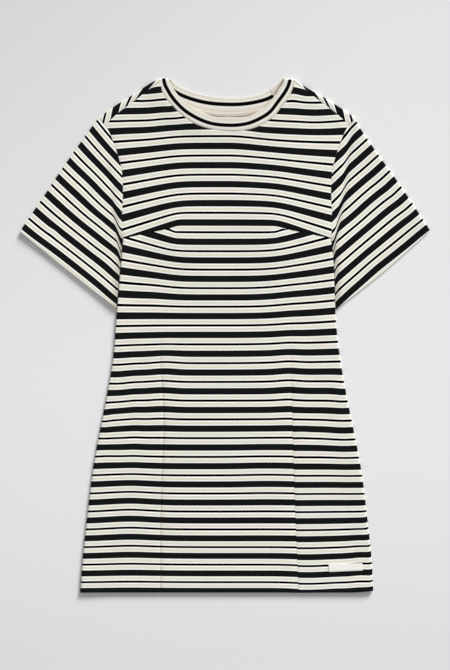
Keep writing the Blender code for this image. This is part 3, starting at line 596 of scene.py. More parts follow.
def rows_below(zone):
    """Rows of the body from the hem up to the bust darts."""
    share = ZONE_SHARES[zone]

    def dart(side, rise):
        y = DART_TIP[side][1] * rise
        return mirrored(side, through(LONG_DART, SIDE_COLUMN[side])(y), y)

    def row(rise):
        start = dart("left", rise) if zone == "centre" else SIDE_LINE[zone].at(SIDE_LINE[zone].length * (1 - rise))
        return straight(start, dart("right" if zone == "centre" else zone, rise))(share[:, None])

    return np.array([row(rise) for rise in ROWS_BELOW_DARTS] + [dart_row(zone, share)])


def rows_above(zone, top, outer, inner_top):
    """Rows of the body from the bust darts up to the curve along the top."""
    ends = dart_row(zone, [0.0, 1.0])
    left, right = outer, straight(ends[1], inner_top)
    if zone == "centre":
        left, right = (straight(low, high) for low, high in zip(ends, top(np.array([0.0, 1.0]))))
    return np.array([
        coons(lambda share: dart_row(zone, share), top, left, right, ZONE_SHARES[zone], rise)
        for rise in ROWS_ABOVE_DARTS
    ])


def off_side(zone):
    """Distance of each column from its side seam, as far as the roll reaches."""
    share = ZONE_SHARES[zone]
    return np.full(len(share), FOLD_RADIUS) if zone == "centre" else share * ZONE_WIDTH


def square_sides(shell, zone, grid):
    """Make the rims along the side seam stand up straight."""
    if zone != "centre":
        column = 0 if zone == "left" else -1
        shell.square_rims([row[column] for row in grid], Vector((0.0, 0.0, 1.0)))


def turned(plan):
    return np.where(plan[..., 1] < HEM_TURN, HEM_CLOTH, CLOTH)


def front_top(zone):
    if zone == "centre":
        return lambda share: neck_curve("front_seam", neck_angle(np.asarray(share)), SEAM_GAP)
    path, step_off = FORWARD_LINE[zone], (0.0, SEAM_GAP / 2)
    armhole_end = ARMHOLE_LINE[zone].at(FORWARD_RUN) - step_off

    def seam(share):
        share = np.asarray(share)
        along = path.at(path.length * share) - step_off
        along = np.where((share == 0.0)[:, None], armhole_end, along)
        return np.where((share == 1.0)[:, None], neck_corner(zone), along)

    return seam


def front_outer(zone):
    path = ARMHOLE_LINE[zone]
    return lambda rise: path.at(ARMHOLE_LENGTH + (FORWARD_RUN - ARMHOLE_LENGTH) * rise)


def front_face(plan, off_edge, above):
    """Places, grain and shade of a part of the front."""
    fade = np.clip((LONG_DART_TOP - plan[..., 1]) / LONG_DART_FADE, 0.0, 1.0)
    furrow = fade * bell(nearer(LONG_LINE, plan), FURROW_HALF_WIDTH)
    shade = fade * sum(
        depth * bell(LONG_LINE[side].distance(plan), LONG_DART_SHADE_REACH) for side, depth in LONG_DART_SHADE.items()
    )
    bust = bell(nearer(BUST_LINE, plan), FURROW_HALF_WIDTH)
    sunk = FURROW_DEPTH * np.maximum(furrow, bust) * roll(off_edge)
    z = upper_z(plan, off_edge) - sunk + half_gap(off_edge)
    grains = np.stack([plan[..., 0], stripe_count(plan, above)], axis=-1)
    return with_height(plan, z), grains, shade


class Wire:
    """A number in a material, written into expressions as numbers are in Python."""

    def __init__(self, finish, socket):
        self.finish = finish
        self.socket = socket

    def out(self, name):
        return Wire(self.finish, self.socket.node.outputs[name])

    def maths(self, operation, *others, clamp=False):
        values = dict(enumerate((self,) + others))
        return self.finish.add("ShaderNodeMath", {"operation": operation, "use_clamp": clamp}, values)

    def __add__(self, other):
        return self.maths("ADD", other)

    def __radd__(self, other):
        return self.maths("ADD", other)

    def __sub__(self, other):
        return self.maths("SUBTRACT", other)

    def __rsub__(self, other):
        return (self * -1.0).maths("ADD", other)

    def __mul__(self, other):
        return self.maths("MULTIPLY", other)

    def __rmul__(self, other):
        return self.maths("MULTIPLY", other)

    def __truediv__(self, other):
        return self.maths("DIVIDE", other)

    def clamped(self):
        return self.maths("ADD", 0.0, clamp=True)


def add_node(tree, kind, settings, sockets):
    """A node with its settings made first, then the value or link of each socket."""
    node = tree.nodes.new(kind)
    for setting, value in (settings or {}).items():
        setattr(node, setting, value)
    for socket, value in (sockets or {}).items():
        if isinstance(value, bpy.types.NodeSocket):
            tree.links.new(value, node.inputs[socket])
        else:
            node.inputs[socket].default_value = value
    return node


class Finish:
    """A material in the making; every node of it comes from add()."""

    def __init__(self, name):
        self.material = bpy.data.materials.new(name)
        self.material.use_nodes = True
        self.tree = self.material.node_tree
        self.tree.nodes.clear()

    def add(self, kind, settings=None, sockets=None, output=0):
        plain = {key: value.socket if isinstance(value, Wire) else value for key, value in (sockets or {}).items()}
        node = add_node(self.tree, kind, settings, plain)
        return Wire(self, node.outputs[output]) if node.outputs else None

    def mix(self, factor, first, second):
        sockets = {0: factor, 6: first, 7: second}
        return self.add("ShaderNodeMix", {"data_type": "RGBA", "clamp_factor": True}, sockets, output=2)

    def noise(self, where, scale, detail=2.0):
        return self.add("ShaderNodeTexNoise", {}, {"Vector": where, "Scale": scale, "Detail": detail})

    def place(self):
        return self.add("ShaderNodeTexCoord").out("Object")

    def split(self, vector):
        """The X of a vector, with its Y and Z as further outputs."""
        return self.add("ShaderNodeSeparateXYZ", {}, {0: vector})

    def grain(self):
        """X is the run along the cloth, and Y counts the stripes or the half widths of the tipping."""
        return self.split(self.add("ShaderNodeUVMap", {"uv_map": "grain"}))

    def shaded(self, colour):
        """The colour, with the warm shade that the cloth's own attribute gives."""
        depth = self.add("ShaderNodeAttribute", {"attribute_name": "shade"}, output=2)
        return self.mix(depth, colour, WARM_SHADE)

    def close(self, colour, roughness, relief, depth, gloss=0.01):
        """Join colour, roughness and relief in a cloth shader."""
        normal = self.add("ShaderNodeBump", {}, {"Strength": 1.0, "Distance": depth, "Height": relief})
        sockets = {"Base Color": colour, "Roughness": roughness, "Normal": normal, "Specular IOR Level": gloss}
        shader = self.add("ShaderNodeBsdfPrincipled", {}, sockets)
        self.add("ShaderNodeOutputMaterial", {}, {"Surface": shader})
        return self.material


DARK_CREAM, PALE_CREAM = (0.737, 0.708, 0.602, 1.0), (0.807, 0.782, 0.682, 1.0)
BRIGHT_CREAM = (1.0, 0.995, 0.955, 1.0)      # courses next to a black stripe
# painted shade, mixed into the cloth by its shade attribute in seams, creases and beside the neckband
WARM_SHADE = (0.21, 0.14, 0.07, 1.0)
BLACK = (0.0084, 0.0086, 0.0090, 1.0)
DEEP_BLACK = (0.0, 0.0, 0.0, 1.0)            # narrow stripes, and the edges of wide ones
WIDE_SHARE, NARROW_SHARE = 0.348, 0.131      # black part of a repeat of the stripes
DEEP_EDGE = 0.042                            # width of those edges, as a share of a repeat
BESIDE = 0.075                               # reach of the brighter courses
RIBS = 20.0                                  # fine ribs in a repeat
WALE, WALE_WAVER = 1.45, 0.0011              # pitch of the columns of stitches, and how far they move a stripe's edge
STRIPE_CRISPNESS, DEEP_CRISPNESS = 160.0, 60.0
RIB_RELIEF = 0.00018                         # in metres
PAINTED_LIGHT_TO_RIGHT = 1.1                         # painted light: how much paler the cream is painted for each metre across, brighter to the right


def striped_knit():
    finish = Finish("striped_knit")
    grain = finish.grain()
    wales = (grain * (2 * math.pi / WALE)).maths("SINE")
    ribs = (grain.out("Y") * (2 * math.pi * RIBS)).maths("SINE")
    count = grain.out("Y") + wales * WALE_WAVER
    off = (count - count.maths("ROUND")).maths("ABSOLUTE")
    past_wide, to_narrow = off - WIDE_SHARE / 2, (0.5 - NARROW_SHARE / 2) - off
    wide = (0.5 - past_wide * STRIPE_CRISPNESS).clamped()
    narrow = (0.5 - to_narrow * STRIPE_CRISPNESS).clamped()
    black = wide.maths("MAXIMUM", narrow)
    beside = (1.5 - past_wide.maths("MINIMUM", to_narrow) * (1.5 / BESIDE)).clamped()
    inside = ((WIDE_SHARE / 2 - DEEP_EDGE - off) * DEEP_CRISPNESS + 0.5).clamped()
    place = finish.place()
    cloudy = finish.noise(place, 9.0)
    speckle = finish.noise(place, 700.0, 1.0)
    # the last term paints the cream paler to the right, a painted gradient of light
    tone = cloudy * 0.5 + speckle * 0.5 + ribs * 0.1 + finish.split(place) * PAINTED_LIGHT_TO_RIGHT
    cream = finish.mix(tone.clamped(), DARK_CREAM, PALE_CREAM)
    cream = finish.shaded(finish.mix(beside, cream, BRIGHT_CREAM))
    colour = finish.mix(black, cream, finish.mix(inside, DEEP_BLACK, BLACK))
    relief = ribs * 0.6 + wales * 0.25 + speckle * 0.5 - black * 0.4
    return finish.close(colour, 0.86 - black * 0.06, relief, RIB_RELIEF)


KNIT = striped_knit()

shell = Shell()
for zone in ZONES:
    plan, off_edge = rows_below(zone), off_side(zone)
    places, grains, shade = front_face(plan, off_edge, above=False)
    square_sides(shell, zone, shell.patch(places, grains, turned(plan), shade))

    outer = None if zone == "centre" else front_outer(zone)
    plan = rows_above(zone, front_top(zone), outer, neck_corner(zone))
    places, grains, _ = front_face(plan, FOLD_RADIUS, above=True)
    if zone != "centre":                     # the row that both parts share rolls over with the side seam
        places[0, :, 2] = upper_z(plan[0], off_edge) - FURROW_DEPTH * roll(off_edge) + half_gap(off_edge)
    shell.patch(places, grains)
front = shell.sew_up("front_cloth", KNIT)
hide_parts("front")
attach(front, "root")


# ---------------------------------------------------------------- back
# The back is cut in one from the same knit, with no darts. Over the shoulders it is longer than the front, so
# it comes over each shoulder fold to a seam that lies in front of it, and shows there as a short strip of
# slanting stripes.

BACK_STRIPE, REPEAT = 851.8, 32.0            # height of the top wide stripe, and the stripes' repeat
TILT_START, TILT_REACH, TILT_HEIGHT = 2.0, 50.0, 700.0       # where the level stripes turn into slanting ones
LEAN_ROUNDS = 8                              # the lean hangs on the count, as the fall does on the front
SHOULDER_STRIPES = {
    # count, where the stripe crosses the shoulder fold from its armhole end, how far it leans past it
    "left": (
        (-2.0, -6.0, 1.05), (-1.5, 14.5, 1.05), (-1.0, 36.9, 1.04), (-0.5, 64.4, 1.56), (0.0, 99.4, 2.6),
        (0.5, 150.0, 4.4),
    ),
    "right": (
        (-2.0, -8.5, 1.05), (-1.5, 11.0, 1.05), (-1.0, 34.3, 1.04), (-0.5, 63.5, 1.7), (0.0, 94.9, 2.3),
        (0.5, 146.0, 3.0),
    ),
}
SHOULDER_BOW = {
    # share of the fold from its armhole end, how far it lies outside the straight line
    "left": ((0.0, 0.0), (0.12, 1.2), (0.33, 2.4), (0.52, 1.6), (0.7, 1.9), (0.88, 1.9), (1.0, 0.0)),
    "right": ((0.0, 0.0), (0.3, 0.8), (0.5, 0.6), (0.72, -1.2), (0.86, -1.2), (1.0, 0.0)),
}
OUTER_PITCH, INNER_PITCH = 40.0, 80.0        # of the stripes past the first and the last of the table
counts_on_fold = np.linspace(-2.5, 1.0, 71)
PLACES_ON_FOLD = {
    side: through(table, 1)(counts_on_fold)
    + OUTER_PITCH * np.minimum(counts_on_fold - table[0][0], 0.0)
    + INNER_PITCH * np.maximum(counts_on_fold - table[-1][0], 0.0)
    for side, table in SHOULDER_STRIPES.items()
}


def shoulder_fold(zone):
    """Both ends of a shoulder fold and the direction square to it, into the dress."""
    head = ARMHOLE_LINE[zone].at(0.0)
    neck = mirrored(zone, NECK_POINT[0] + SEAM_GAP, NECK_POINT[1])
    along = unit(neck - head)
    return head, neck, np.array([-along[1], along[0]]) * SIDES[zone]


def fold_point(zone, share, off_fold):
    """Place beside a shoulder fold; share 0 is its armhole end and 1 its neck end."""
    head, neck, inwards = shoulder_fold(zone)
    armhole_way = ARMHOLE_LINE[zone].at(FORWARD_RUN) - head
    start = head + armhole_way * off_fold / (armhole_way @ inwards)
    end = neck - np.array([0.0, off_fold / -inwards[1]])
    share = np.asarray(share)[..., None]
    return start + (end - start) * share - inwards * through(SHOULDER_BOW[zone], 1)(share)


def back_top(zone):
    if zone != "centre":
        return lambda share: fold_point(zone, share, FOLD_RADIUS)

    def neckline(share):
        share = np.asarray(share)
        line = neck_curve("back_seam", neck_angle(share), SEAM_GAP)
        line = np.where((share == 0.0)[:, None], fold_point("left", 1.0, FOLD_RADIUS), line)
        return np.where((share == 1.0)[:, None], fold_point("right", 1.0, FOLD_RADIUS), line)

    return neckline


def back_outer(zone):
    path, top = ARMHOLE_LINE[zone], fold_point(zone, 0.0, FOLD_RADIUS)
    start = np.linalg.norm(top - path.at(0.0))
    return lambda rise: top if rise >= 1.0 else path.at(ARMHOLE_LENGTH + (start - ARMHOLE_LENGTH) * rise)


def across_armhole(zone):
    """Direction across the armhole seam where it runs over the shoulder fold."""
    along = ARMHOLE_LINE[zone].at(FORWARD_RUN) - ARMHOLE_LINE[zone].at(0.0)
    return Vector((along[1], -along[0], 0.0)).normalized()


def shoulder_count(zone, plan, beyond):
    """Which stripe runs through a place beside a shoulder fold; beyond is how far past the fold it lies."""
    head, neck, _ = shoulder_fold(zone)
    along = (plan - head) @ unit(neck - head)
    count = np.interp(along, PLACES_ON_FOLD[zone], counts_on_fold)
    for _ in range(LEAN_ROUNDS):
        lean = through(SHOULDER_STRIPES[zone], 2)(count) * beyond
        count = np.interp(along + lean, PLACES_ON_FOLD[zone], counts_on_fold)
    return count


def back_grain(plan):
    """Level stripes, which tilt a little where the cloth nears the shoulder folds."""
    count = (plan[..., 1] - BACK_STRIPE) / REPEAT
    for zone in SIDES:
        head, _, inwards = shoulder_fold(zone)
        inside = (plan - head) @ inwards
        near = (1.0 - smooth((inside - TILT_START) / TILT_REACH)) * (plan[..., 0] * SIDES[zone] > 0.0)
        near = near * (plan[..., 1] > TILT_HEIGHT)
        count = count + (shoulder_count(zone, plan, -inside) - count) * near
    return np.stack([plan[..., 0], count], axis=-1)


shell = Shell()
for zone in ZONES:
    plan, off_edge = rows_below(zone), off_side(zone)
    z = lower_z(off_edge) - half_gap(off_edge)
    square_sides(shell, zone, shell.patch(with_height(plan, z), back_grain(plan), turned(plan), flip=True))

    outer = inner_top = None
    if zone != "centre":
        outer, inner_top = back_outer(zone), fold_point(zone, 1.0, FOLD_RADIUS)
    plan = rows_above(zone, back_top(zone), outer, inner_top)
    places = with_height(plan, 0.0)
    if zone != "centre":
        places[0, :, 2] = z                  # as on the front
    shell.patch(places, back_grain(plan), flip=True)

for zone in SIDES:
    head, _, inwards = shoulder_fold(zone)
    under, over = ROLL_STOPS[::-1], ROLL_STOPS[1:]
    rolled = np.array([fold_point(zone, side_shares, stop) for stop in np.concatenate([under, over])])
    seam = front_top(zone)(side_shares) + (0.0, SEAM_GAP)
    flat = np.array([straight(rolled[-1], seam)(share) for share in np.linspace(0.12, 1.0, 9)])
    stops = np.concatenate([under, over, np.full(len(flat), FOLD_RADIUS)])[:, None]
    plan = np.concatenate([rolled, flat])
    z = upper_z(plan, stops)
    z[: len(under)] = lower_z(stops[: len(under)])
    grains = back_grain(plan)
    past = (plan - head) @ inwards
    grains[len(under) :, :, 1] = shoulder_count(zone, plan, past)[len(under) :]
    grid = shell.patch(with_height(plan, z), grains, flip=zone == "left")
    shell.square_rims([row[0] for row in grid[1 : len(rolled)]], across_armhole(zone))
    shell.square_rims([row[-1] for row in grid[1 : len(rolled)]], Vector((1.0, 0.0, 0.0)))
back = shell.sew_up("back_cloth", KNIT)
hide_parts("back")
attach(back, "root")


# ---------------------------------------------------------------- sleeves
# Each sleeve is a short wide tube of the same knit, set into the armhole and pressed flat along its top, with
# its edge turned up and blind stitched. Where it bends down to the armpit, a soft crease takes up the spare
# cloth and the stripes swing down along it.

SLEEVE_GAP = 0.47                            # between a sleeve and its armhole
CUFF_GRAIN = {
    # corner of the cuff, direction down it, fanning, first wide stripe, its bend, repeat, its change
    "left": ((-346.5, 604.8), (0.7797, -0.6262), 0.087, 12.1, 0.0, 32.93, -3.53),
    "right": ((339.0, 607.3), (-0.7544, -0.6563), 0.126, 4.2, 5.04, 32.6, -1.26),
}
CUFF_BEND = 100.8                            # length down the cuff over which the stripes bend
SLEEVE_CREASE = {
    # a line up the crease: distance from the centre, height, how far the stripes drop beyond the crease, and
    # half the width over which they swing down
    "left": (
        (178.5, 540.0, 5.0, 4.4), (179.0, 556.0, 13.0, 4.4), (179.5, 566.0, 14.5, 4.4), (181.1, 583.0, 13.5, 4.4),
        (181.8, 594.7, 12.6, 4.4), (183.8, 608.2, 11.2, 4.6), (185.1, 619.9, 10.0, 4.6), (188.5, 638.4, 5.5, 4.6),
        (190.7, 658.6, 2.5, 5.0), (193.2, 683.8, 1.0, 5.0), (204.0, 720.0, 0.0, 5.0),
    ),
    "right": (
        (181.5, 485.0, 3.0, 5.0), (182.5, 515.0, 6.0, 5.0), (181.5, 548.0, 8.0, 4.5), (178.4, 561.1, 14.0, 3.6),
        (179.2, 572.0, 16.0, 3.4), (180.3, 586.3, 20.5, 3.4), (182.8, 598.1, 20.0, 3.6), (184.5, 606.5, 18.0, 4.0),
        (187.5, 628.3, 14.5, 4.6), (192.0, 648.5, 12.0, 5.4), (195.6, 668.6, 9.5, 6.2), (198.6, 692.2, 8.0, 6.2),
        (199.6, 717.4, 6.0, 6.2), (205.0, 756.0, 6.0, 6.2), (209.0, 782.0, 0.0, 6.2),
    ),
}
CREASE_DEPTH = {"left": (1.3, 6.0), "right": (1.5, 7.0)}         # and half its width
CREASE_RIDGE = 0.8                           # share of the depth that comes up again as a ridge on each side
SLEEVE_SHADE = {"left": (0.32, 0.46), "right": (0.12, 0.32)}     # beside the crease, and along the underarm
CREASE_SHADE_REACH, UNDERARM_SHADE_REACH = 6.0, 8.0
CREASE_SHADE_PAST = 2.0                      # the shade stops this far past the crease
CREASE_SHADE_TOP, CREASE_SHADE_RAMP = 700.0, 70.0
SWING_REACH = 15.0                           # round the underarm fold, the swing dies out over this length
SLEEVE_WAVES = {
    # down the cuff, inwards from it, reach down, reach inwards, how far the stripes are pushed outwards
    "left": (
        (13.0, 20.0, 45.0, 47.0, 2.5), (40.0, 138.0, 30.0, 40.0, -1.8), (107.0, 92.0, 34.0, 36.0, -2.1),
        (144.0, 70.0, 22.0, 30.0, -2.2), (45.0, 36.0, 9.0, 7.0, -1.4), (134.0, 40.0, 42.0, 30.0, -0.6),
        (190.0, 10.0, 20.0, 14.0, 1.2),
    ),
    "right": (
        (7.0, 80.0, 15.0, 55.0, 1.3), (108.0, 12.0, 28.0, 26.0, -0.9), (80.0, 110.0, 20.0, 30.0, 0.8),
        (6.0, 4.0, 24.0, 22.0, -1.3), (192.0, 14.0, 18.0, 16.0, 1.2),
    ),
}
SLEEVE_BOW = {
    # share of the top fold from the shoulder, how far it lies outside the straight line
    "left": (
        (0.0, 0.0), (0.03, 0.5), (0.1, 1.2), (0.25, 1.9), (0.4, 2.3), (0.53, 2.3), (0.67, 1.7), (0.95, 1.6),
        (1.0, 1.2),
    ),
    "right": (
        (0.0, 0.0), (0.025, -1.6), (0.07, -2.8), (0.2, -2.5), (0.33, -1.7), (0.45, -0.4), (0.6, 0.8), (0.8, 1.2),
        (0.97, 1.2), (1.0, 0.9),
    ),
}
CUFF_EASE = 8.0                              # the cuff's edge meets the bowed fold over this length


def sleeve_plan(side, runs, share):
    """A row round half of a sleeve, from its top fold to the underarm; share goes out to the cuff."""
    cuff, under, bow = CUFF_LINE[side], UNDERARM_LINE[side], through(SLEEVE_BOW[side], 1)
    step_off = unit(cuff.at(cuff.length / 2) - ARMHOLE_LINE[side].at(ARMHOLE_LENGTH / 2)) * SLEEVE_GAP
    head, top_corner, low_corner = ARMHOLE_LINE[side].at(0.0) + step_off, *cuff_corners(side)
    fold = unit(top_corner - head)
    outwards = np.array([-fold[1], fold[0]]) * SIDES[side]

    def armhole(width):
        line = ARMHOLE_LINE[side].at(width * ARMHOLE_LENGTH) + step_off
        return np.where((width >= 1.0)[:, None], under.at(0.0), line)

    def cuff_edge(width):
        edge = np.where((width >= 1.0)[:, None], low_corner, cuff.at(width * cuff.length))
        return edge + outwards * bow(1.0) * bell(width * cuff.length, CUFF_EASE)[:, None]

    def top_fold(along):
        return head + (top_corner - head) * along + outwards * bow(along)

    def underarm(along):
        return under.at(under.length * along)

    return coons(armhole, cuff_edge, top_fold, underarm, runs / ARMHOLE_LENGTH, share)


def at_crease(side, plan, column):
    """A column of the crease's table, read at each point's height."""
    crease = np.array(SLEEVE_CREASE[side])
    return np.interp(plan[..., 1], crease[:, 1], crease[:, column])


def beyond_crease(side, plan):
    """How far each point lies past the crease, towards the body."""
    return at_crease(side, plan, 0) - SIDES[side] * plan[..., 0]


def off_crease(side, plan):
    crease = np.array(SLEEVE_CREASE[side])
    return Path(mirrored(side, crease[:, 0], crease[:, 1])).distance(plan)


def crease_drop(side, plan):
    depth, half_width = CREASE_DEPTH[side]
    across = off_crease(side, plan) / half_width
    return depth * (1.0 - CREASE_RIDGE * across**2) * bell(across, 1.0)


def sleeve_grain(side, plan, swung):
    """Stripes run along the cuff; past the crease they drop towards the armpit."""
    corner, down_cuff, fan, first, bend, repeat, change = CUFF_GRAIN[side]
    drop, swing = (at_crease(side, plan, column) for column in (2, 3))
    drop = drop * smooth((beyond_crease(side, plan) + swing) / (2 * swing))
    moved = plan + np.stack([np.zeros_like(drop), drop * swung], axis=-1) - corner
    along = moved @ np.array(down_cuff)
    inwards = moved @ (np.array([down_cuff[1], -down_cuff[0]]) * SIDES[side])
    for *where, push in SLEEVE_WAVES[side]:
        inwards = inwards + push * spot(along, inwards, *where)
    turn = np.tanh((along + fan * inwards) / CUFF_BEND)
    count = (inwards - first - bend * turn) / (repeat + change * turn)
    return np.stack([along, count], axis=-1)


def sleeve_shade(side, plan):
    """Warm shade before the crease and where the sleeve lies against the body."""
    beside, at_body = SLEEVE_SHADE[side]
    before = bell(off_crease(side, plan), CREASE_SHADE_REACH) * (beyond_crease(side, plan) < CREASE_SHADE_PAST)
    before = before * smooth((CREASE_SHADE_TOP - plan[..., 1]) / CREASE_SHADE_RAMP)
    against = bell(UNDERARM_LINE[side].distance(plan), UNDERARM_SHADE_REACH)
    return np.maximum(beside * before, at_body * against)


sleeve_runs = np.concatenate([
    ROLL_STOPS,
    np.linspace(5.0, ARMHOLE_LENGTH - 5.0, 44),
    ARMHOLE_LENGTH - ROLL_STOPS[::-1],
])
off_edge = np.minimum(sleeve_runs, ARMHOLE_LENGTH - sleeve_runs)
under = slice(len(sleeve_runs) - 2, 0, -1)   # the lower half goes back from the underarm to the top fold
swung = np.exp(-(ARMHOLE_LENGTH - sleeve_runs) / SWING_REACH)
for side in SIDES:
    shell = Shell()
    turn_share = 1.0 - CUFF_TURN / SLEEVE_FOLD[side].length
    shares = np.concatenate([
        [0.0, 0.005, 0.015, 0.03],
        np.linspace(0.05, turn_share - 0.02, 38),
        [turn_share - 0.005, turn_share + 0.005, 0.95, 0.975, 0.99, 0.997, 1.0],
    ])
    plan = np.array([sleeve_plan(side, sleeve_runs, share) for share in shares])
    top = upper_z(plan, off_edge) - crease_drop(side, plan) * roll(off_edge)
    halves = (
        (with_height(plan, top), with_height(plan, lower_z(off_edge))),
        (sleeve_grain(side, plan, 1.0), sleeve_grain(side, plan, swung)),
        (sleeve_shade(side, plan), np.zeros(plan.shape[:2])),
    )
    places, grains, shade = (np.concatenate([upper, lower[:, under]], axis=1) for upper, lower in halves)
    thickness = np.where(shares > turn_share, HEM_CLOTH, CLOTH)[:, None]
    grid = shell.patch(places, grains, thickness, shade, closed=True, flip=side == "left")
    runs = np.concatenate([sleeve_runs, sleeve_runs[under]])
    shell.square_rims([corner for corner, run in zip(grid[0], runs) if run < FORWARD_RUN], across_armhole(side))
    sleeve = shell.sew_up("sleeve_cloth_" + side, KNIT)
    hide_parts("sleeve_" + side)
    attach(sleeve, "root")


# ---------------------------------------------------------------- neckband
# A doubled band of fine cream rib, with one black line knitted in as a tipping. It is sewn on all round the
# neck; the front of it curves down over the opening and shows the inside of the back beyond.

BAND_THICKNESS, BAND_HEIGHT = 2.4, 7.2
BAND_ROUNDING, BAND_ROUNDING_REACH = 0.7, 1.1                    # of its edges
BAND_SHARES = np.array([0.0, 0.04, 0.1, 0.2, 0.32, 0.45, 0.58, 0.7, 0.8, 0.9, 0.96, 1.0])
BAND_FOLD_DROPS = (0.12, 0.5, 1.1, 1.8, 2.7, 3.6)
TIPPING_SHARE = {
    # degrees round from the right neck point, share of the band's width from its seam
    "front": (
        (0, 0.40), (15, 0.45), (22, 0.475), (30, 0.485), (42, 0.465), (50, 0.445), (66, 0.48), (76, 0.45),
        (90, 0.40), (100, 0.42), (110, 0.43), (122, 0.44), (134, 0.42), (142, 0.435), (147, 0.45), (154, 0.485),
        (163, 0.48), (170, 0.43), (180, 0.46),
    ),
    "back": ((0, 0.43), (45, 0.47), (66, 0.52), (90, 0.55), (120, 0.51), (140, 0.49), (180, 0.47)),
}
TIPPING_WIDTH = {"front": 6.3, "back": 6.7}
TIPPING_START = 5.0                          # centre of the tipping's rounded right end, from the corner
TIPPING_BLACK = (0.0015, 0.0015, 0.0015, 1.0)
TIPPING_CRISPNESS, BESIDE_TIPPING = 3.0, 0.55
OFF_TIPPING = 6.0                            # half widths from the tipping, where the band is all cream
JOIN_ANGLE, JOIN_LEAN = 0.70, 0.045          # the band's own join, at the right of the back neck
JOIN_START, JOIN_RAMP = 0.6, 0.1             # it shows from this share of the width out to the free edge
JOIN_REACH, JOIN_SHADE = 1 / 90, 0.62        # how far round it reaches, in radians, and how dark it is
SEAM_SHADE = 0.24                            # fine line along the back neck seam
BAND_SHADOWS = (
    # x, y, reach across, reach up: in the right corner, in the fold below it and in the left corner
    (96.0, 852.0, 18.0, 20.0), (82.5, 838.0, 4.0, 4.5), (-94.0, 852.0, 12.0, 15.0),
)
BAND_RIB = 1.1                               # pitch of the ribs
BAND_DARK, BAND_PALE = (0.70, 0.652, 0.550, 1.0), (0.77, 0.728, 0.640, 1.0)


def band_z(drop, on_front, off_rim):
    """Height of the band's outer face, which folds over from the back to the front at the neck points."""
    middle = BAND_HEIGHT / 2
    rounding = BAND_ROUNDING * bell(off_rim, BAND_ROUNDING_REACH)
    return middle + (middle - rounding if on_front else -middle) * roll(drop, middle)


def rib_knit():
    finish = Finish("neck_rib")
    grain = finish.grain()
    off = grain.out("Y").maths("ABSOLUTE")
    black = ((1.0 - off) * TIPPING_CRISPNESS + 0.5).clamped()
    beside = (1.0 - (off - 1.0) * BESIDE_TIPPING).clamped()
    ribs = (grain * (2 * math.pi / BAND_RIB)).maths("SINE")
    place = finish.place()
    cloudy = finish.noise(place, 30.0)
    speckle = finish.noise(place, 700.0, 1.0)
    tone = (cloudy * 0.5 + speckle * 0.4 + ribs * 0.06).clamped()
    cream = finish.mix(beside * 0.6, finish.mix(tone, BAND_DARK, BAND_PALE), BRIGHT_CREAM)
    colour = finish.mix(black, finish.shaded(cream), TIPPING_BLACK)
    return finish.close(colour, 0.85 - black * 0.05, ribs * 0.5 + speckle * 0.4, RIB_RELIEF)


FREE_EDGE = Path(neck_curve("front_edge", np.linspace(0.0, math.pi, 160)))


def beside_band(plan):
    """Warm shade on what lies just inside the front of the band, deepest in the right corner."""
    x, y = plan[..., 0], plan[..., 1]
    corner, fold, left_corner = (spot(x, y, *where) for where in BAND_SHADOWS)
    depth = 0.25 + 0.12 * smooth(x / 60.0) + 0.55 * corner + 0.7 * fold + 0.1 * left_corner
    return np.clip(depth * bell(FREE_EDGE.distance(plan), 3.0 + 0.9 * corner - 0.8 * fold), 0.0, 1.0)


near = [angle_below(drop) for drop in BAND_FOLD_DROPS]
half_ring = np.concatenate([near, neck_angle(np.linspace(1.0, 0.0, 90)), math.pi - np.array(near[::-1])])
front_angles = np.concatenate([[0.0], half_ring, [math.pi]])
join_angles = JOIN_ANGLE - np.linspace(-0.01, 0.05, 13)
back_angles = np.sort(np.concatenate([math.pi - front_angles, join_angles]))[::-1]
shell = Shell()
for which, angles in (("front", front_angles), ("back", back_angles)):
    seam, edge = neck_curve(which + "_seam", angles), neck_curve(which + "_edge", angles)
    plan = seam[:, None] + (edge - seam)[:, None] * BAND_SHARES[None, :, None]
    width = np.linalg.norm(edge - seam, axis=1)
    half_tipping = TIPPING_WIDTH[which] / 2.0
    tipping_share = through(TIPPING_SHARE[which], 1)(np.degrees(angles))
    off_rim = np.minimum(BAND_SHARES, 1.0 - BAND_SHARES) * width[:, None]
    z = band_z(NECK_POINT[1] - plan[..., 1], which == "front", off_rim)
    off_line = (BAND_SHARES - tipping_share[:, None]) * width[:, None] / half_tipping
    along = np.concatenate([[0.0], np.cumsum(np.linalg.norm(np.diff(seam, axis=0), axis=1))])
    shade = np.zeros(plan.shape[:2])
    if which == "front":
        before_start = np.maximum(TIPPING_START - along, 0.0) / half_tipping
        off_line = np.hypot(off_line, before_start[:, None])
    else:
        off_line = np.where((angles < JOIN_ANGLE)[:, None], OFF_TIPPING, off_line)
        past_start = BAND_SHARES - JOIN_START
        leaning = JOIN_ANGLE - JOIN_LEAN * past_start / (1.0 - JOIN_START)
        join = bell(angles[:, None] - leaning, JOIN_REACH) * smooth(0.5 + past_start / JOIN_RAMP)
        shade = np.maximum(np.maximum(beside_band(plan), JOIN_SHADE * join), SEAM_SHADE * (BAND_SHARES == 0.0))
    grains = np.stack(np.broadcast_arrays(along[:, None], off_line), axis=-1)
    shell.patch(with_height(plan, z), grains, BAND_THICKNESS, shade)
neckband = shell.sew_up("neckband_rib", rib_knit())
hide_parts("neckband")
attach(neckband, "root")


# ---------------------------------------------------------------- neck tape
# A narrow cream tape, woven as a fine twill, covers the seam inside the back neck and is held by a row of
# stitches along each edge. Only the curve of it is drawn; its flat section is swept along.

TAPE_WIDTH, TAPE_THICKNESS, TAPE_ROUNDING = 8.5, 1.0, 0.2
TAPE_ENDS = 0.36                             # radians left bare at each end of the back neck
TAPE_HEIGHT = CLOTH + SEAM_GAP               # of its underside
TAPE_DARK, TAPE_PALE = (0.68, 0.63, 0.545, 1.0), (0.75, 0.702, 0.625, 1.0)
TWILL = 0.0009                               # pitch of the weave's slanting lines, in metres


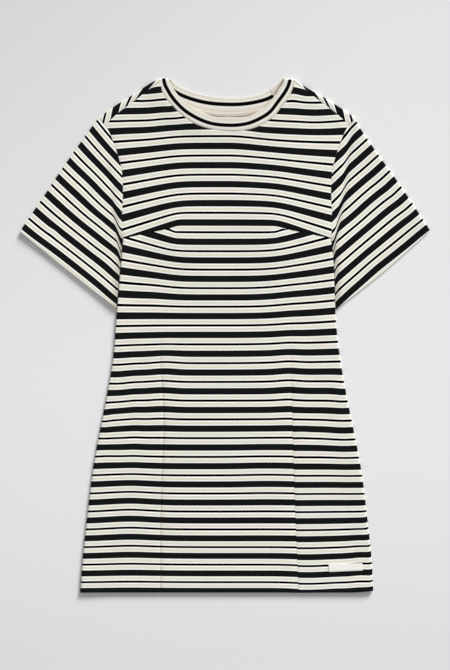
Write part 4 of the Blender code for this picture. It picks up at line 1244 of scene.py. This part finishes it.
def to_frame(points):
    """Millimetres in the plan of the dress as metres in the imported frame."""
    return (np.asarray(points) + ORIGIN) / 1000.0


def wire(name, points):
    """An open line of edges, as a start for what follows a path."""
    data = bpy.data.meshes.new(name)
    data.from_pydata([tuple(point) for point in points], [(i, i + 1) for i in range(len(points) - 1)], [])
    return put(name, data)


class Grower:
    """A tree of geometry nodes with named inputs, run on a piece and then baked into its mesh."""

    def __init__(self, name, inputs):
        self.tree = bpy.data.node_groups.new(name, "GeometryNodeTree")
        self.tree.interface.new_socket("Line", in_out="INPUT", socket_type="NodeSocketGeometry")
        for label, kind in inputs.items():
            self.tree.interface.new_socket(label, in_out="INPUT", socket_type=kind)
        self.tree.interface.new_socket("Piece", in_out="OUTPUT", socket_type="NodeSocketGeometry")
        self.start = add_node(self.tree, "NodeGroupInput", {}, {})

    def given(self, label):
        return self.start.outputs[label]

    def add(self, kind, settings=None, sockets=None):
        return add_node(self.tree, kind, settings, sockets).outputs[0]

    def close(self, geometry, finish):
        whole = self.add("GeometryNodeRealizeInstances", {}, {"Geometry": geometry})
        painted = self.add("GeometryNodeSetMaterial", {}, {"Geometry": whole, "Material": finish})
        add_node(self.tree, "NodeGroupOutput", {}, {"Piece": painted})

    def bake(self, line, name, values):
        """Run the tree on a line and keep the result as a plain mesh object."""
        modifier = line.modifiers.new("grow", "NODES")
        modifier.node_group = self.tree
        for item in self.tree.interface.items_tree:
            if item.item_type == "SOCKET" and item.in_out == "INPUT" and item.name in values:
                modifier[item.identifier] = values[item.name]
        seen = line.evaluated_get(bpy.context.evaluated_depsgraph_get())
        data = bpy.data.meshes.new_from_object(seen)
        data.name = name
        line.modifiers.remove(modifier)
        bpy.data.objects.remove(line, do_unlink=True)
        return put(name, data)


def tape_weave():
    finish = Finish("tape")
    place = finish.place()
    split = finish.split(place)
    twill = ((split + split.out("Y")) * (2 * math.pi / TWILL)).maths("SINE")
    cloudy = finish.noise(place, 60.0)
    speckle = finish.noise(place, 900.0, 1.0)
    tone = (cloudy * 0.5 + speckle * 0.3 + twill * 0.08 + 0.1).clamped()
    colour = finish.shaded(finish.mix(tone, TAPE_DARK, TAPE_PALE))
    return finish.close(colour, 0.82 + speckle * 0.06, twill * 0.5 + speckle * 0.4, depth=0.0001)


TAPE_CLOTH = tape_weave()
TAPE_SECTION = {"Width": TAPE_WIDTH / 1000, "Thickness": TAPE_THICKNESS / 1000, "Rounding": TAPE_ROUNDING / 1000}
sweep = Grower("tape_sweep", dict.fromkeys(TAPE_SECTION, "NodeSocketFloat"))
path = sweep.add("GeometryNodeMeshToCurve", {}, {"Mesh": sweep.given("Line")})
path = sweep.add("GeometryNodeSetCurveNormal", {"mode": "Z_UP"}, {"Curve": path})
flat = {"Width": sweep.given("Width"), "Height": sweep.given("Thickness")}
section = sweep.add("GeometryNodeCurvePrimitiveQuadrilateral", {}, flat)
section = sweep.add("GeometryNodeFilletCurve", {}, {"Curve": section, "Radius": sweep.given("Rounding")})
solid = sweep.add("GeometryNodeCurveToMesh", {}, {"Curve": path, "Profile Curve": section, "Fill Caps": True})
sweep.close(solid, TAPE_CLOTH)
angles = np.linspace(TAPE_ENDS, math.pi - TAPE_ENDS, 120)
middle = neck_curve("back_seam", angles, SEAM_GAP + TAPE_WIDTH / 2)
line = wire("tape_line", to_frame(with_height(middle, TAPE_HEIGHT + TAPE_THICKNESS / 2)))
neck_tape = sweep.bake(line, "neck_tape_woven", TAPE_SECTION)
corners = np.array([vertex.co for vertex in neck_tape.data.vertices]) * 1000.0 - ORIGIN
shade = neck_tape.data.attributes.new("shade", "FLOAT", "POINT")
shade.data.foreach_set("value", beside_band(corners[:, :2]))
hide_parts("neck_tape")
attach(neck_tape, "root")


# ---------------------------------------------------------------- stitches of the tape
# Fine cream thread, in short straight stitches, about four to the centimetre. They run along both edges of
# the tape and sink a little into it.

STITCH = {"Pitch": 0.0026, "Length": 0.0018, "Thickness": 0.00042}                # in metres
STITCH_INSET, STITCH_LIFT = 1.2, 0.05        # from the edges of the tape, and over it
THREAD_DARK, THREAD_PALE = (0.60, 0.55, 0.46, 1.0), (0.80, 0.76, 0.68, 1.0)


def thread():
    finish = Finish("thread")
    twist = finish.noise(finish.place(), 2600.0, 1.0)
    return finish.close(finish.mix(twist, THREAD_DARK, THREAD_PALE), 0.62 + twist * 0.1, twist, depth=0.00005)


THREAD_FINISH = thread()
row = Grower("stitch_row", dict.fromkeys(STITCH, "NodeSocketFloat"))
path = row.add("GeometryNodeMeshToCurve", {}, {"Mesh": row.given("Line")})
path = row.add("GeometryNodeResampleCurve", {"mode": "LENGTH"}, {"Curve": path, "Length": row.given("Pitch")})
bead = row.add("GeometryNodeMeshUVSphere", {}, {"Segments": 6, "Rings": 5, "Radius": 0.5})
thick = row.given("Thickness")
shape = row.add("ShaderNodeCombineXYZ", {}, {"X": row.given("Length"), "Y": thick, "Z": thick})
turn = row.add("FunctionNodeAlignRotationToVector", {"axis": "X"}, {"Vector": row.add("GeometryNodeInputTangent")})
placed = {"Points": path, "Instance": bead, "Rotation": turn, "Scale": shape}
row.close(row.add("GeometryNodeInstanceOnPoints", {}, placed), THREAD_FINISH)

for name, inset in (("upper", STITCH_INSET), ("lower", TAPE_WIDTH - STITCH_INSET)):
    edge = with_height(neck_curve("back_seam", angles, SEAM_GAP + inset), TAPE_HEIGHT + TAPE_THICKNESS + STITCH_LIFT)
    stitches = row.bake(wire("line", to_frame(edge)), "tape_stitches_" + name, STITCH)
    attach(stitches, "root")


# ---------------------------------------------------------------- hem label
# A small woven label of smooth off-white yarn, left bare. It lies flat on the front just above the hem, with
# its short ends folded under, and a row of fine stitches holds each end and each long edge.

LABEL_CENTRE, LABEL_SIZE, LABEL_TURN = (198.8, 42.0), (56.5, 12.4), math.radians(2.6)
LABEL_TOP, LABEL_THICKNESS = 1.4, 1.3        # its top face over the knit below it
LABEL_ROUNDING, LABEL_ROUNDING_REACH = 0.3, 0.7
LABEL_FOLD, LABEL_FOLD_LIFT = 3.3, 0.12      # width of the folded ends, and how much higher they lie
LABEL_THREAD = 0.00034                       # in metres
LABEL_STITCHED = (0.475, 0.42)               # where the stitches run, as shares of its size from its middle
LABEL_DARK, LABEL_PALE = (0.80, 0.79, 0.74, 1.0), (0.90, 0.89, 0.85, 1.0)
WARP, WEFT = 0.0006, 0.00045                 # pitches of its yarns, in metres


def label_weave():
    finish = Finish("label_weave")
    place = finish.place()
    split = finish.split(place)
    warp = (split * (2 * math.pi / WARP)).maths("SINE")
    weft = (split.out("Y") * (2 * math.pi / WEFT)).maths("SINE")
    weave = (warp * weft * 0.5 + 0.5).clamped()
    speckle = finish.noise(place, 500.0)
    tone = (weave * 0.35 + speckle * 0.6).clamped()
    colour = finish.mix(tone, LABEL_DARK, LABEL_PALE)
    return finish.close(colour, 0.55 + speckle * 0.12, weave, depth=0.00006, gloss=0.3)


def on_label(across, down):
    """Place on the front for a share of the label's length and width from its middle."""
    x, y = across * LABEL_SIZE[0], down * LABEL_SIZE[1]
    c, s = math.cos(LABEL_TURN), math.sin(LABEL_TURN)
    plan = np.array([LABEL_CENTRE[0] + c * x - s * y, LABEL_CENTRE[1] + s * x + c * y])
    above = Vector(to_frame((*plan, 50.0)))
    hit = front_tree.ray_cast(above, Vector((0.0, 0.0, -1.0)))[0]
    return (*plan, hit.z * 1000.0 + LABEL_TOP)


front_tree = BVHTree.FromObject(front, bpy.context.evaluated_depsgraph_get())
across = np.concatenate([[-0.5, -0.495, -0.48], np.linspace(-0.46, 0.46, 37), [0.48, 0.495, 0.5]])
down = np.concatenate([[-0.5, -0.47], np.linspace(-0.4, 0.4, 9), [0.47, 0.5]])
places = np.array([[on_label(a, d) for a in across] for d in down])
off_end, off_long_edge = (0.5 - np.abs(across)) * LABEL_SIZE[0], ((0.5 - np.abs(down)) * LABEL_SIZE[1])[:, None]
for off in (off_end, off_long_edge):
    places[..., 2] -= LABEL_ROUNDING * bell(off, LABEL_ROUNDING_REACH)
places[..., 2] += LABEL_FOLD_LIFT * (off_end < LABEL_FOLD)
shell = Shell()
shell.patch(places, places[..., :2], LABEL_THICKNESS)
label = shell.sew_up("hem_label_woven", label_weave())
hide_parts("hem_label")
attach(label, "root")

corners = np.array([(-1, -1), (1, -1), (1, 1), (-1, 1), (-1, -1)]) * LABEL_STITCHED
for number, (start, end) in enumerate(zip(corners[:-1], corners[1:])):
    line = [on_label(*straight(start, end)(share)) for share in np.linspace(0.0, 1.0, 25)]
    values = {**STITCH, "Thickness": LABEL_THREAD}
    stitches = row.bake(wire("line", to_frame(line)), "label_stitches_%d" % number, values)
    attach(stitches, "root")


# ---------------------------------------------------------------- floor, light and camera
# The dress lies on a pale floor, with a pool of light painted into its colour. A broad soft light stands low
# beyond the neck, a little to the right, and an even pale surround fills the shadows.

VIEW_CENTRE, VIEW_HEIGHT = (0.00014, 0.00066), 1.1256        # in metres, as all in this section
FLOOR_HALF, FLOOR_DEPTH = 4.0, -0.0003
PAINTED_LIGHT_MIDDLE = (0.2604, -0.0588)             # middle of the pool of light painted on the floor; its colour is painted darker to the left, far and close
LEFT_REACH, FAR_REACH, CLOSE_REACH = 0.6334, 0.6132, 0.4704
FLOOR_PALE = (0.80, 0.80, 0.806, 1.0)
KEY_AZIMUTH, KEY_ELEVATION = math.radians(62.0), math.radians(27.5)


def pale_floor():
    finish = Finish("pale_floor")
    place = finish.place()
    split = finish.split(place)
    past_middle = split.out("Y") - PAINTED_LIGHT_MIDDLE[1]
    left = ((PAINTED_LIGHT_MIDDLE[0] - split) / LEFT_REACH).clamped()
    far = (past_middle / FAR_REACH).clamped()
    close = (past_middle / -CLOSE_REACH).clamped()
    grain = finish.noise(place, 60.0)
    # painted light: the floor's colour darkens away from that middle, as a pool of light would
    drop = left * left * 0.013 + far * far * 0.022 + close * close * 0.038 + left * far * 0.037 + grain * 0.004
    level = (1.0 - drop).maths("POWER", 2.2)
    return finish.close(finish.mix(level, DEEP_BLACK, FLOOR_PALE), 0.9 + grain * 0.05, grain, depth=0.0001)


def stand_light(light, towards):
    """A light at a place, turned to shine on the middle of the dress."""
    stand = put(light.name, light)
    stand.location = towards
    stand.rotation_euler = towards.to_track_quat("Z", "Y").to_euler()


data = bpy.data.meshes.new("floor")
corners = [(x * FLOOR_HALF, y * FLOOR_HALF, FLOOR_DEPTH) for x, y in ((-1, -1), (1, -1), (1, 1), (-1, 1))]
data.from_pydata(corners, [], [(0, 1, 2, 3)])
data.materials.append(pale_floor())
floor = put("floor", data)

surround = bpy.data.worlds.new("surround")
surround.use_nodes = True
background = surround.node_tree.nodes["Background"].inputs
background["Color"].default_value = (1.0, 1.0, 1.0, 1.0)
background["Strength"].default_value = 0.41
bpy.context.scene.world = surround

sun = bpy.data.lights.new("key", "SUN")
sun.energy, sun.angle = 3.86, math.radians(24.0)
level = Vector((math.cos(KEY_AZIMUTH), math.sin(KEY_AZIMUTH), 0.0)) * math.cos(KEY_ELEVATION)
stand_light(sun, (level + Vector((0.0, 0.0, math.sin(KEY_ELEVATION)))) * 3.0)

lamp = bpy.data.lights.new("side_glow", "AREA")
lamp.shape, lamp.size, lamp.energy = "SQUARE", 1.0, 0.8
stand_light(lamp, Vector((0.75, 0.45, 1.1)))

lens = bpy.data.cameras.new("camera")
lens.sensor_fit, lens.sensor_height, lens.lens = "VERTICAL", 36.0, 85.0
camera = put("camera", lens)
camera.location = (*VIEW_CENTRE, VIEW_HEIGHT * lens.lens / lens.sensor_height)
bpy.context.scene.camera = camera
bpy.context.scene.view_settings.view_transform = "Standard"
